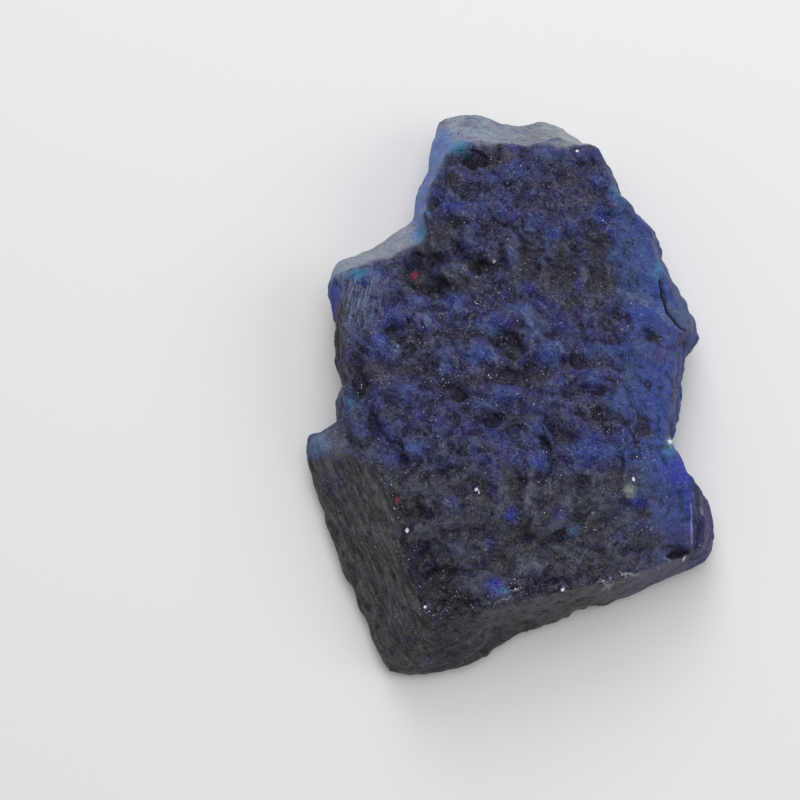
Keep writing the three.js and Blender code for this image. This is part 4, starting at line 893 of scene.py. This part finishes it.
# grooves along the cleaved flanks and the broken edge at the foot of the near one
leftGrain = streaks(points, (0.42, -0.78, -0.45), (0.9, 0.42, 0.1), 0.55, 7, 90)
nearGrain = streaks(points, (0.93, 0.36, 0), (-0.1, 0.2, 0.97), 0.6, 6, 94)
grooves = leftFlank * leftGrain + fineShape["nearStreaks"] * nearFlank * nearGrain
relief = relief + fineShape["streaks"] * grooves
foot = nearFlank * within("footBelow", z) * within("footLeft", x) * within("footRight", x)
relief = relief + fineShape["foot"] * foot * layeredField(points / 2.1, 98, 3)

chipFacet = step(0.1, 0.5, chipDrop(chips[0], x, y)) * (1 - 0.8 * lowFlank)
cornerFacet = within("cornerFacet", x) * within("cornerNear", y)
streaked = bump(patches["streaked"], x, y)
upward = step(0, 1.5, z)
normals = pointNormals(points, quads, triangles)
points = points + normals * (upward * relief)[:, None]
points[:, 2] = np.where(resting, 0, np.maximum(0, points[:, 2]))
normals = pointNormals(points, quads, triangles)
print("stone:", len(points), "points,", 2 * len(quads) + len(triangles), "triangles")


# how far the surface stands above its own smoothed copy, in parts of the reach
def standing(rounds, reach):
    lower = smoothed(points, quads, triangles, rounds)
    return np.clip(((points - lower) * normals).sum(1) / reach, -1, 1)


# what the material reads at each point, by name
shares = {
    **marks,
    "fineRise": standing(3, 0.06),
    "midRise": standing(14, 0.22),
    "flank": flank,
    "leftFlank": leftFlank,
    "nearFlank": nearFlank,
    "farBevel": farBevel,
    "tongueSide": tongueSide,
    "shoulder": np.maximum(shoulder, lowShoulder),
    "tongue": tongue,
    "rightSlope": rightSlope,
    "nearBand": nearBand,
    "wornRim": wornRim,
    "chipFacet": chipFacet,
    "cornerFacet": cornerFacet,
    "streaked": streaked,
}

mesh = bpy.data.meshes.new("roughStone")
shift = (np.array(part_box("stone")).mean(0) / mm - (points.max(0) + points.min(0)) / 2) * (1, 1, 0)
mesh.from_pydata(((points + shift) * mm).tolist(), [], quads.tolist() + triangles.tolist())
mesh.update()
mesh.polygons.foreach_set("use_smooth", np.ones(len(mesh.polygons), bool))
for name, values in shares.items():
    mesh.attributes.new(name, "FLOAT", "POINT").data.foreach_set("value", values.astype(np.float32))
stone = bpy.data.objects.new("roughStone", mesh)
bpy.context.scene.collection.objects.link(stone)
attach(stone, "root")
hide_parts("stone")


# ---------- the stone's material ----------
print("stone: material")
colours = {
    "slate": (0.022, 0.027, 0.078),
    "violet": (0.032, 0.024, 0.072),
    "slateGreen": (0.042, 0.060, 0.110),
    "navy": (0.010, 0.008, 0.034),
    "charcoal": (0.035, 0.034, 0.039),
    "black": (0.002, 0.002, 0.006),
    "dusk": (0.018, 0.015, 0.044),
    "duskGrey": (0.027, 0.022, 0.042),
    "haze": (0.060, 0.085, 0.190),
    "olive": (0.036, 0.036, 0.041),
    "ultramarine": (0.024, 0.040, 0.245),
    "azure": (0.040, 0.085, 0.310),
    "vivid": (0.023, 0.034, 0.380),
    "purple": (0.062, 0.044, 0.130),
    "teal": (0.052, 0.235, 0.400),
    # colour of the pale film, partly painted sheen on the ridges
    "filmAndSheen": (0.085, 0.108, 0.205),
    "ash": (0.080, 0.090, 0.120),
    "curl": (0.150, 0.185, 0.270),
    "curlGrey": (0.160, 0.165, 0.190),
    "stroke": (0.190, 0.225, 0.310),
    "pale": (0.280, 0.360, 0.300),
    "red": (0.230, 0.028, 0.070),
    # pale powder of the bevels, partly painted sheen
    "bevelPowderAndSheen": (0.300, 0.345, 0.400),
    "lightPowderAndSheen": (0.400, 0.430, 0.450),
    "powderViolet": (0.205, 0.215, 0.340),
    "powderGreen": (0.250, 0.325, 0.330),
    "powderGrey": (0.260, 0.270, 0.310),
    "bandBlue": (0.145, 0.235, 0.580),
    "flankGrey": (0.036, 0.036, 0.039),
    "flankLight": (0.128, 0.126, 0.133),
    "nearGrey": (0.044, 0.040, 0.047),
    "nearLight": (0.108, 0.100, 0.114),
    "lilac": (0.100, 0.088, 0.160),
    "rightBlue": (0.043, 0.085, 0.345),
    "sideBlue": (0.018, 0.024, 0.125),
    "chip": (0.080, 0.112, 0.215),
    "corner": (0.028, 0.028, 0.105),
    "edge": (0.230, 0.200, 0.560),
    "crest": (0.300, 0.300, 0.380),
    "tone": (0.480, 0.500, 0.570),
    "grit": (0.084, 0.089, 0.112),
    # colour of pale crumbs and of the painted glints
    "crumbAndGlint": (0.800, 0.840, 1.000),
}
# thin lines drawn over the crown: from x, y, to x, y, width
scratches = {
    "chink": [
        (19.7, 12.3, 20.0, 10.1, 0.22), (20.0, 10.1, 20.5, 8.2, 0.22), (20.5, 8.2, 22.2, 5.8, 0.28),
        (22.2, 5.8, 22.9, 5.6, 0.2),
    ],
    # lines of pale film along ridges, partly painted highlight
    "filmAndSheen": [
        (19.7, 9.6, 20.1, 7.4, 0.22), (20.2, 7.2, 21.6, 5.7, 0.28), (21.2, 6.4, 22.5, 5.0, 0.22),
        (19.3, 8.4, 20.6, 6.2, 0.2), (-2.9, 2.6, -1.9, 1.4, 0.36), (-1.9, 1.4, -1.7, 0.2, 0.4),
        (2.4, 5.4, 3.2, 4.4, 0.34), (3.2, 4.4, 2.6, 3.0, 0.4), (-15.4, 3.6, -14.6, 2.8, 0.36),
        (-14.6, 2.8, -14.3, 1.6, 0.4), (-5.9, 8.0, -5.0, 7.0, 0.34), (-5.0, 7.0, -5.3, 5.6, 0.34),
        (-7.4, 1.2, -7.1, -0.2, 0.36), (-11.6, 7.4, -10.8, 6.8, 0.34), (-10.8, 6.8, -10.8, 5.6, 0.34),
        (5.8, 3.2, 6.4, 2.2, 0.34), (15.4, 10.4, 17.9, 9.1, 0.24), (16.9, 9.2, 18.8, 8.6, 0.2),
    ],
    "edge": [
        (22.7, -17.6, 22.8, -19.6, 0.14), (22.8, -19.6, 22.8, -22.3, 0.24),
    ],
    # pale crack lines along the near rim, partly a painted highlight of its edge
    "crest": [
        (13.6, -26.6, 16.2, -26.4, 0.24), (16.2, -26.4, 18.8, -26.5, 0.16), (10.9, -27.3, 12.4, -28.1, 0.24),
        (12.2, -27.0, 12.0, -28.0, 0.2), (11.2, -28.2, 12.6, -27.6, 0.2), (13.4, -26.3, 14.2, -26.9, 0.2),
        (19.2, -24.2, 20.4, -24.8, 0.22), (-2.6, -30.7, -0.4, -29.8, 0.2), (-0.6, -29.0, 0.8, -28.6, 0.2),
    ],
}
# tiny painted glints, bright specks of colour in place of the light's reflection: each cell of a random field
# has a chance of one
paintedGlintShape = {
    "sizes": [(2.6, 0.20, 0.6), (4.4, 0.33, 1.0)],  # cells per millimetre, radius in cells, share of them
    "crowds": 0.045,  # the chance inside the crowds
    "hollows": 0.08,  # and what is added to it in hollows, on dark and black marks and on the corner facet
    "dark": 0.06,
    "black": 0.12,
    "corner": 0.45,
    "alone": 0.008,  # the chance outside the crowds
    "paintedGlitter": 0.3,  # added where glitter is placed
    "glow": (0.09, 0.85),  # the faintest, and what the brightest have more than that
}
surface = {
    "roughness": 0.28,
    "grainRoughness": 0.3,  # added by the grain
    "bevelRoughness": 0.2,  # added on the weathered bevels
    "specular": 0.2,
    "toneBump": 0.6,  # height in millimetres of the bump that each field gives
    "speckBump": 0.07,
    "bumpStrength": 0.9,
}
material = bpy.data.materials.new("stone")
material.use_nodes = True
tree = material.node_tree
bsdf = tree.nodes["Principled BSDF"]


# adds a node, sets its inputs or links them, and gives back one of its outputs
def wire(kind, inputs, output=0, **settings):
    made = tree.nodes.new("ShaderNode" + kind)
    for name, value in settings.items():
        setattr(made, name, value)
    for where, value in inputs.items():
        if isinstance(value, bpy.types.NodeSocket):
            tree.links.new(value, made.inputs[where])
        else:
            made.inputs[where].default_value = value
    return made.outputs[output]


def calc(operation, a, b=0.0, c=0.0):
    return wire("Math", {0: a, 1: b, 2: c}, operation=operation)


def larger(a, b):
    return calc("MAXIMUM", a, b)


# a times b plus c
def timesPlus(a, b, c):
    return calc("MULTIPLY_ADD", a, b, c)


# 1 less a share of the value
def lessened(value, share):
    return timesPlus(value, -share, 1.0)


def times(first, *others):
    for other in others:
        first = calc("MULTIPLY", first, other)
    return first


# a calculation on three numbers at once; output 1 is the single number of a distance or a sum of products
def vectorCalc(operation, a, b=(0, 0, 0), c=(0, 0, 0), output=0):
    return wire("VectorMath", {0: a, 1: b, 2: c}, output, operation=operation)


def scaled(vector, factor):
    return wire("VectorMath", {0: vector, 3: factor}, operation="SCALE")


# smoothly from the first value at low to the last at high
def ramp(value, low, high, first=0.0, last=1.0):
    inputs = {"Value": value, "From Min": low, "From Max": high, "To Min": first, "To Max": last}
    return wire("MapRange", inputs, interpolation_type="SMOOTHSTEP")


# a share of the way from one colour to the other, each given by its name or as a socket
def blend(share, a, b):
    a, b = (colours[colour] + (1,) if isinstance(colour, str) else colour for colour in (a, b))
    return wire("Mix", {0: share, 6: a, 7: b}, 2, data_type="RGBA")


# colours laid over a base one after another, each with its own share
def overlaid(base, layers):
    for share, colour in layers:
        base = blend(share, base, colour)
    return base


def noise(scale, detail=2.0, roughness=0.5, distortion=0.0, vector=None):
    inputs = {"Vector": vector or inMillimetres, "Scale": scale, "Detail": detail, "Roughness": roughness,
              "Distortion": distortion}
    return wire("TexNoise", inputs)


# a place measured along turned axes in units of the size along each of them
def along(turn, size):
    inputs = {"Vector": inMillimetres, "Rotation": (0, 0, math.radians(turn)), "Scale": size}
    return wire("Mapping", inputs, vector_type="TEXTURE")


# noise drawn out along one direction
def drawn(turn, size, detail=4.0, distortion=0.3):
    return noise(1.0, detail, 0.6, distortion, along(turn, size))


# a share whose edge lies between low and high and is broken up by noise
def ragged(share, breakup, low, high, amount):
    return ramp(timesPlus(calc("SUBTRACT", breakup, 0.5), amount, share), low, high)


# a kind of marking with crumbled edges
def stain(kind, low, high, amount, strength):
    return times(ragged(on[kind], crumble, low, high, amount), strength)


inMillimetres = vectorCalc("MULTIPLY", wire("TexCoord", {}, 3), (1000, 1000, 1000))
placeX, placeY, placeZ = (wire("SeparateXYZ", {0: inMillimetres}, n) for n in range(3))
# the mesh's shares by name: on["flank"] is 1 on the flanks and 0 on the crown
on = {name: wire("Attribute", {}, 2, attribute_type="GEOMETRY", attribute_name=name) for name in shares}

lay = along(-45, (1.35, 0.85, 1))
toneNoise = noise(0.5, 5, 0.85, 0.3, lay)
hueNoise = noise(0.38, 2, 0.5, 0.0, lay)
blueNoise = noise(0.5, 2, 0.5, 0.0, along(-45, (1.2, 0.9, 1.4)))
hazeNoise = noise(0.55, 4, 0.6, 0.0, along(-45, (1.4, 0.8, 1.2)))
grainNoise = noise(2.6, 3, 0.6)
tintNoise = noise(0.5, 2, 0.5)
patchNoise = noise(0.7, 3, 0.55)
cloudNoise = noise(0.25, 2, 0.5)
edgeNoise = noise(0.9, 2, 0.5)
speckNoise = noise(5.5, 2, 0.6)
gritNoise = noise(4.2, 2, 0.6, 1.2)
wanderNoise = noise(0.9, 3, 0.6).node.outputs["Color"]
gritPatches = ramp(noise(0.75, 3, 0.6, 0.4), 0.42, 0.62)
crumble = timesPlus(grainNoise, 0.65, times(edgeNoise, 0.35))

# ground: slate to violet, bluer to the right, charcoal-olive towards the near end and the left flank's rim,
# painted shade darkening the hollows, a haze on raised parts that is partly painted sheen, bluer on the lumps
nearShare = times(ragged(on["nearBand"], patchNoise, 0.2, 0.9, 0.5), 0.85, lessened(on["rightSlope"], 0.7))
# painted shade: the hollows of the relief turn navy, darkest in the deepest
hollows = larger(times(ramp(on["midRise"], 0.1, -0.5), 0.85), times(ramp(on["fineRise"], 0.0, -0.8), 0.55))
lumps = times(ramp(on["midRise"], 0.0, 0.6), ramp(blueNoise, 0.4, 0.6), lessened(nearShare, 0.8))
ground = overlaid("slate", [
    (ramp(hueNoise, 0.42, 0.6), "violet"),
    (times(ramp(blueNoise, 0.46, 0.68), 0.3), "ultramarine"),
    # partly painted sheen: haze laid on the raised parts
    (times(ramp(hazeNoise, 0.46, 0.64), ramp(on["midRise"], -0.4, 0.4), 0.22), "haze"),
    (times(on["rightSlope"], 0.85), "rightBlue"),
    (nearShare, "olive"),
    (times(ragged(on["wornRim"], patchNoise, 0.1, 0.8, 0.5), 0.8), "flankGrey"),
    (hollows, "navy"),
    (times(lumps, 0.35), "ultramarine"),
])

# placed markings
charcoalColour = overlaid("charcoal", [
    (times(ramp(placeY, -12.0, -8.0), ramp(placeY, 9.0, 6.0), 0.85), "duskGrey"),
    (times(ramp(placeY, 8.5, 11.5), 0.15), "ash"),
])
ground = overlaid(ground, [
    (stain("dusk", 0.1, 1.0, 1.0, 0.75), "dusk"),
    (stain("haze", 0.1, 1.0, 1.1, 0.65), "haze"),
    (stain("charcoal", 0.1, 0.85, 1.1, 0.85), charcoalColour),
    (stain("ultramarine", 0.1, 0.95, 1.2, 0.65), "ultramarine"),
    (stain("purple", 0.1, 1.0, 1.0, 0.75), "purple"),
    (stain("azure", 0.1, 0.95, 1.2, 0.65), "azure"),
    (times(ramp(tintNoise, 0.54, 0.7), timesPlus(on["tongue"], 0.25, 0.4)), "violet"),
    (times(ramp(tintNoise, 0.44, 0.3), 0.40), "slateGreen"),
    (stain("black", 0.15, 1.1, 1.4, 0.92), "black"),
    (stain("vivid", 0.1, 1.0, 1.0, 0.7), "vivid"),
])

# thin veils of lavender grey along ridges and in fine curling lines, and the facets of the two chips;
# the veil on the fine ridges is a painted highlight, and the film marks are partly pale film, partly painted
# sheen
curl = calc("ABSOLUTE", calc("SUBTRACT", noise(0.9, 3, 0.62, 0.8), 0.5))
veilAndRidgeHighlight = times(ramp(curl, 0.08, 0.0), ramp(on["midRise"], -0.8, 0.3), ramp(grainNoise, 0.35, 0.6), 0.15)
# painted highlight on the fine ridges
veilAndRidgeHighlight = calc("ADD", veilAndRidgeHighlight, times(ramp(on["fineRise"], 0.0, 0.9), ramp(edgeNoise, 0.35, 0.65), 0.24))
veilAndRidgeHighlight = timesPlus(ragged(on["filmAndSheen"], grainNoise, 0.15, 0.9, 0.5), 0.75, veilAndRidgeHighlight)
curls = times(ramp(curl, 0.05, 0.0), ramp(patchNoise, 0.44, 0.56), ramp(on["midRise"], -0.9, 0.0))
greyer = larger(on["nearBand"], on["charcoal"])
strokes = ramp(drawn(80, (2.6, 0.26, 1.0), 3, 0.6), 0.48, 0.6)
ground = overlaid(ground, [
    (times(veilAndRidgeHighlight, lessened(on["black"], 0.6)), blend(greyer, "filmAndSheen", "ash")),
    (times(curls, timesPlus(on["rightSlope"], -0.2, 0.42)), blend(greyer, "curl", "curlGrey")),
    (times(on["streaked"], strokes, 0.95), "stroke"),
    (times(on["chipFacet"], 0.8), "chip"),
    (times(on["cornerFacet"], 0.9), "corner"),
])

# the weathered bevels: pale powder that is partly a painted sheen of the light they face, violet, green or
# grey in places, with fine streaks and dark flecks
streak = timesPlus(drawn(-20, (1.2, 0.3, 1.0), 4, 0.7), 0.6, times(gritNoise, 0.4))
sideStrokes = ramp(drawn(62, (2.6, 0.3, 1.0), 3, 0.6), 0.46, 0.6)
leftward = ramp(placeX, 4.0, -6.0)
bevelPowderAndSheen = overlaid("bevelPowderAndSheen", [
    (ramp(cloudNoise, 0.40, 0.58), "powderGrey"),
    (times(ramp(tintNoise, 0.48, 0.64), 0.7), "powderViolet"),
    (times(ramp(patchNoise, 0.46, 0.62), timesPlus(leftward, -0.5, 0.7)), "powderGreen"),
    (times(ramp(streak, 0.50, 0.60), 0.55), "slate"),
    (times(ramp(gritNoise, 0.44, 0.34), gritPatches, 0.6), "navy"),
    (times(ramp(gritNoise, 0.54, 0.66), gritPatches, 0.5), "stroke"),
    (times(sideStrokes, on["tongueSide"], 0.7), "azure"),
    # partly painted sheen: lighter powder to the right and on the shoulder
    (times(ramp(placeX, 3.0, 9.0), 0.5), "lightPowderAndSheen"),
    (times(on["shoulder"], 0.5), "lightPowderAndSheen"),
    (timesPlus(on["tongueSide"], 0.65, times(larger(on["shoulder"], leftward), 0.1)), "bandBlue"),
])
bevels = larger(on["farBevel"], times(larger(on["tongueSide"], on["shoulder"]), 0.75))
bevelEdge = timesPlus(crumble, 0.6, times(patchNoise, 0.4))
ground = blend(ragged(bevels, bevelEdge, 0.1, 0.95, 0.9), ground, bevelPowderAndSheen)

# cleaved flanks: charcoal grey with lighter streaks along them
leftStreak = drawn(-66, (3.0, 0.42, 0.8))
leftColour = overlaid("flankGrey", [
    (ramp(leftStreak, 0.4, 0.75), "flankLight"),
    (times(ramp(patchNoise, 0.5, 0.68), 0.5), "violet"),
    (times(ramp(edgeNoise, 0.56, 0.68), 0.5), "black"),
    (times(on["wornRim"], ramp(leftStreak, 0.42, 0.62), 0.3), "flankLight"),
])
nearColour = overlaid("nearGrey", [
    (ramp(drawn(21, (2.4, 0.9, 0.8)), 0.36, 0.78), "nearLight"),
    (times(ramp(placeZ, 6.0, 9.5), 0.35), "nearLight"),
    (times(ramp(placeZ, 5.0, 1.0), 0.45), "black"),
    (times(ramp(edgeNoise, 0.52, 0.66), 0.7), "black"),
    (times(ramp(placeX, -1.0, -9.0), 0.5), "black"),
    (times(ramp(placeX, 12.0, 19.0), 0.8), "lilac"),
])
besideNotch = times(ramp(placeX, -20.5, -22.5), ramp(placeY, -3.0, 1.5), ramp(placeY, 10.5, 7.0))
besideNotch = times(besideNotch, ramp(timesPlus(edgeNoise, 4.0, placeZ), 5.0, 7.5))
lowRight = times(on["flank"], on["rightSlope"], ramp(placeZ, 9.0, 6.0, 0.25, 1.0))
ground = overlaid(ground, [
    (ragged(on["leftFlank"], patchNoise, 0.1, 0.9, 0.5), leftColour),
    (ragged(on["nearFlank"], patchNoise, 0.2, 0.8, 0.5), nearColour),
    (times(on["flank"], besideNotch, 0.9), "black"),
    (times(stain("ultramarine", 0.2, 1.0, 0.9, 0.8), larger(bevels, on["flank"])), "ultramarine"),
    (times(stain("vivid", 0.2, 1.0, 0.9, 0.8), on["flank"]), "vivid"),
    (times(stain("purple", 0.2, 1.0, 0.9, 0.6), on["flank"]), "purple"),
    (times(on["cornerFacet"], on["flank"], 0.75), "corner"),
    (times(lowRight, timesPlus(on["nearFlank"], -0.6, 0.6)), "sideBlue"),
    (stain("teal", 0.1, 0.9, 0.8, 0.8), "teal"),
])

# grey tone added and taken away at every scale, calmer to the right, with near-black and ash-grey flecks
busy = times(lessened(on["rightSlope"], 0.35), lessened(bevels, 0.4))
tone = calc("ADD", ramp(toneNoise, 0.38, 0.62, -0.016, 0.016), ramp(speckNoise, 0.3, 0.7, -0.021, 0.021))
tone = times(tone, busy, lessened(on["black"], 0.4))
brightness = vectorCalc("DOT_PRODUCT", ground, (0.2126, 0.7152, 0.0722), output=1)
ground = scaled(ground, timesPlus(calc("DIVIDE", tone, brightness), 0.5, 1.0))
ground = vectorCalc("ADD", ground, scaled(colours["tone"], tone))
ground = vectorCalc("MAXIMUM", ground, colours["black"])
gritty = times(larger(gritPatches, times(on["ultramarine"], 0.8)), busy, lessened(on["black"], 0.6))
lightGrit = times(ramp(gritNoise, 0.53, 0.64), gritty)
darkGrit = times(ramp(gritNoise, 0.47, 0.37), gritty)
ground = vectorCalc("ADD", ground, scaled(colours["grit"], lightGrit))
ground = scaled(ground, lessened(darkGrit, 0.75))
ground = overlaid(ground, [
    (times(ramp(speckNoise, 0.46, 0.3), ramp(toneNoise, 0.54, 0.42), busy, 0.5), "black"),
    (stain("pale", 0.2, 1.0, 1.3, 0.65), "pale"),
    (times(ragged(on["red"], gritNoise, 0.35, 0.75, 1.6), 0.85), "red"),
])


# closeness to thin crooked lines from one place to another: 1 within a third of the width and 0 beyond it
def scratched(kind, wander):
    over = vectorCalc("MULTIPLY_ADD", wanderNoise, (wander, wander, 0), (-wander / 2, -wander / 2, 0))
    over = vectorCalc("MULTIPLY_ADD", inMillimetres, (1, 1, 0), over)
    total = 0.0
    for x0, y0, x1, y1, width in scratches[kind]:
        run = (x1 - x0, y1 - y0, 0)
        fromStart = vectorCalc("SUBTRACT", over, (x0, y0, 0))
        onward = vectorCalc("DOT_PRODUCT", fromStart, run, output=1)
        share = wire("Math", {0: onward, 1: run[0] ** 2 + run[1] ** 2}, operation="DIVIDE", use_clamp=True)
        away = vectorCalc("DISTANCE", fromStart, scaled(run, share), output=1)
        total = larger(total, ramp(away, width, 0.3 * width))
    return total


brokenUp = ramp(grainNoise, 0.38, 0.52)
nearTop = ramp(placeZ, 8.5, 10.5)
ground = overlaid(ground, [
    (times(scratched("chink", 0.7), 0.9), "black"),
    # film lines: pale film along ridges, partly painted highlight
    (times(scratched("filmAndSheen", 2.0), brokenUp, 0.45), "stroke"),
    (times(scratched("edge", 0.3), nearTop, 0.85), "edge"),
    # partly painted highlight: pale lines along the near rim's edge
    (times(scratched("crest", 1.0), nearTop, brokenUp, 0.8), "crest"),
])


# painted glints, bright specks of colour in place of reflections of the light, and the dark chinks round
# them:
# a cell's random colour says whether its heart shines, how large it is and how bright, by the cube of a
# random number
def paintedGlints(scale, radius, chance):
    distance = wire("TexVoronoi", {"Vector": inMillimetres, "Scale": scale})
    lots = distance.node.outputs["Color"]
    lot, size, strength = (wire("SeparateColor", {0: lots}, n) for n in range(3))
    chosen = calc("LESS_THAN", lot, chance)
    heart = calc("LESS_THAN", distance, timesPlus(size, 0.6 * radius, 0.6 * radius))
    faintest, more = paintedGlintShape["glow"]
    glow = timesPlus(calc("POWER", strength, 3.0), more, faintest)
    chink = ramp(timesPlus(speckNoise, 0.6, distance), 0.85, 0.55)
    return times(heart, chosen, glow), times(chink, chosen)


chance = timesPlus(ramp(on["midRise"], 0.1, -0.6), paintedGlintShape["hollows"], paintedGlintShape["crowds"])
chance = timesPlus(larger(on["charcoal"], on["wornRim"]), paintedGlintShape["dark"], chance)
chance = timesPlus(on["black"], paintedGlintShape["black"], chance)
chance = timesPlus(on["cornerFacet"], paintedGlintShape["corner"], chance)
chance = timesPlus(chance, ramp(noise(0.5, 2, 0.5), 0.48, 0.62), paintedGlintShape["alone"])
plainFlank = calc("SUBTRACT", on["flank"], on["cornerFacet"])
chance = times(chance, lessened(on["nearBand"], 0.35), lessened(plainFlank, 0.6))
chance = timesPlus(ragged(on["paintedGlitter"], crumble, 0.1, 0.9, 0.8), paintedGlintShape["paintedGlitter"], chance)
crumbsAndGlints = ragged(on["crumb"], speckNoise, 0.45, 0.75, 0.4)
chinks = 0.0
for scale, radius, part in paintedGlintShape["sizes"]:
    paintedGlint, chink = paintedGlints(scale, radius, times(chance, part))
    crumbsAndGlints = larger(crumbsAndGlints, paintedGlint)
    chinks = larger(chinks, chink)
# painted glints and pale crumbs, with dark chinks round the glints
ground = overlaid(ground, [(times(chinks, 0.85), "black"), (crumbsAndGlints, "crumbAndGlint")])
tree.links.new(ground, bsdf.inputs["Base Color"])

rough = timesPlus(grainNoise, surface["grainRoughness"], surface["roughness"])
rough = timesPlus(bevels, surface["bevelRoughness"], rough)
tree.links.new(rough, bsdf.inputs["Roughness"])
bsdf.inputs["Specular IOR Level"].default_value = surface["specular"]

height = timesPlus(speckNoise, surface["speckBump"], times(toneNoise, surface["toneBump"]))
inputs = {"Height": times(height, mm), "Distance": 1.0, "Strength": surface["bumpStrength"]}
tree.links.new(wire("Bump", inputs), bsdf.inputs["Normal"])
mesh.materials.append(material)

# ---------- floor, light and camera ----------
studio = {
    "floorHalf": 0.8,
    "floorColour": (0.80, 0.80, 0.81, 1),
    "floorRoughness": 0.9,
    "floorSpecular": 0.1,
    "skyStrength": 0.34,
    # power in watts, side in metres, place
    "lights": {
        "window": (1.08, 0.30, (-0.05, 0.42, 0.34)),
        "overhead": (1.95, 0.60, (0.00, 0.13, 0.67)),
        "side": (0.66, 0.32, (0.41, -0.08, 0.36)),
    },
}
half = studio["floorHalf"]
square = [(-half, -half, 0), (half, -half, 0), (half, half, 0), (-half, half, 0)]
floorMesh = bpy.data.meshes.new("floor")
floorMesh.from_pydata(square, [], [(0, 1, 2, 3)])
floor = bpy.data.objects.new("floor", floorMesh)
bpy.context.scene.collection.objects.link(floor)
floorMaterial = bpy.data.materials.new("paper")
floorMaterial.use_nodes = True
paper = floorMaterial.node_tree.nodes["Principled BSDF"]
paper.inputs["Base Color"].default_value = studio["floorColour"]
paper.inputs["Roughness"].default_value = studio["floorRoughness"]
paper.inputs["Specular IOR Level"].default_value = studio["floorSpecular"]
floorMesh.materials.append(floorMaterial)

world = bpy.data.worlds.new("studio")
bpy.context.scene.world = world
world.use_nodes = True
background = world.node_tree.nodes["Background"]
background.inputs["Color"].default_value = (1, 1, 1, 1)
background.inputs["Strength"].default_value = studio["skyStrength"]

for name, (power, side, spot) in studio["lights"].items():
    lamp = bpy.data.lights.new(name, "AREA")
    lamp.energy = power
    lamp.size = side
    lampObject = bpy.data.objects.new(name, lamp)
    lampObject.location = spot
    lampObject.rotation_euler = (-Vector(spot)).to_track_quat("-Z", "Y").to_euler()
    bpy.context.scene.collection.objects.link(lampObject)

# the camera looks at the aim from this distance, in metres and degrees; lens and sensor in millimetres
view = {"aim": (-14.32 * mm, -0.61 * mm), "distance": 270 * mm, "elevation": 74.5, "lens": 90, "sensor": 36}
tilt = math.radians(view["elevation"])
cameraData = bpy.data.cameras.new("camera")
cameraData.lens = view["lens"]
cameraData.sensor_width = view["sensor"]
camera = bpy.data.objects.new("camera", cameraData)
camera.location = (view["aim"][0], view["aim"][1] - view["distance"] * math.cos(tilt),
                   view["distance"] * math.sin(tilt))
camera.rotation_euler = (math.radians(90) - tilt, 0, 0)
bpy.context.scene.collection.objects.link(camera)
bpy.context.scene.camera = camera
bpy.context.scene.view_settings.view_transform = "Standard"
print("stage: floor, light and camera")
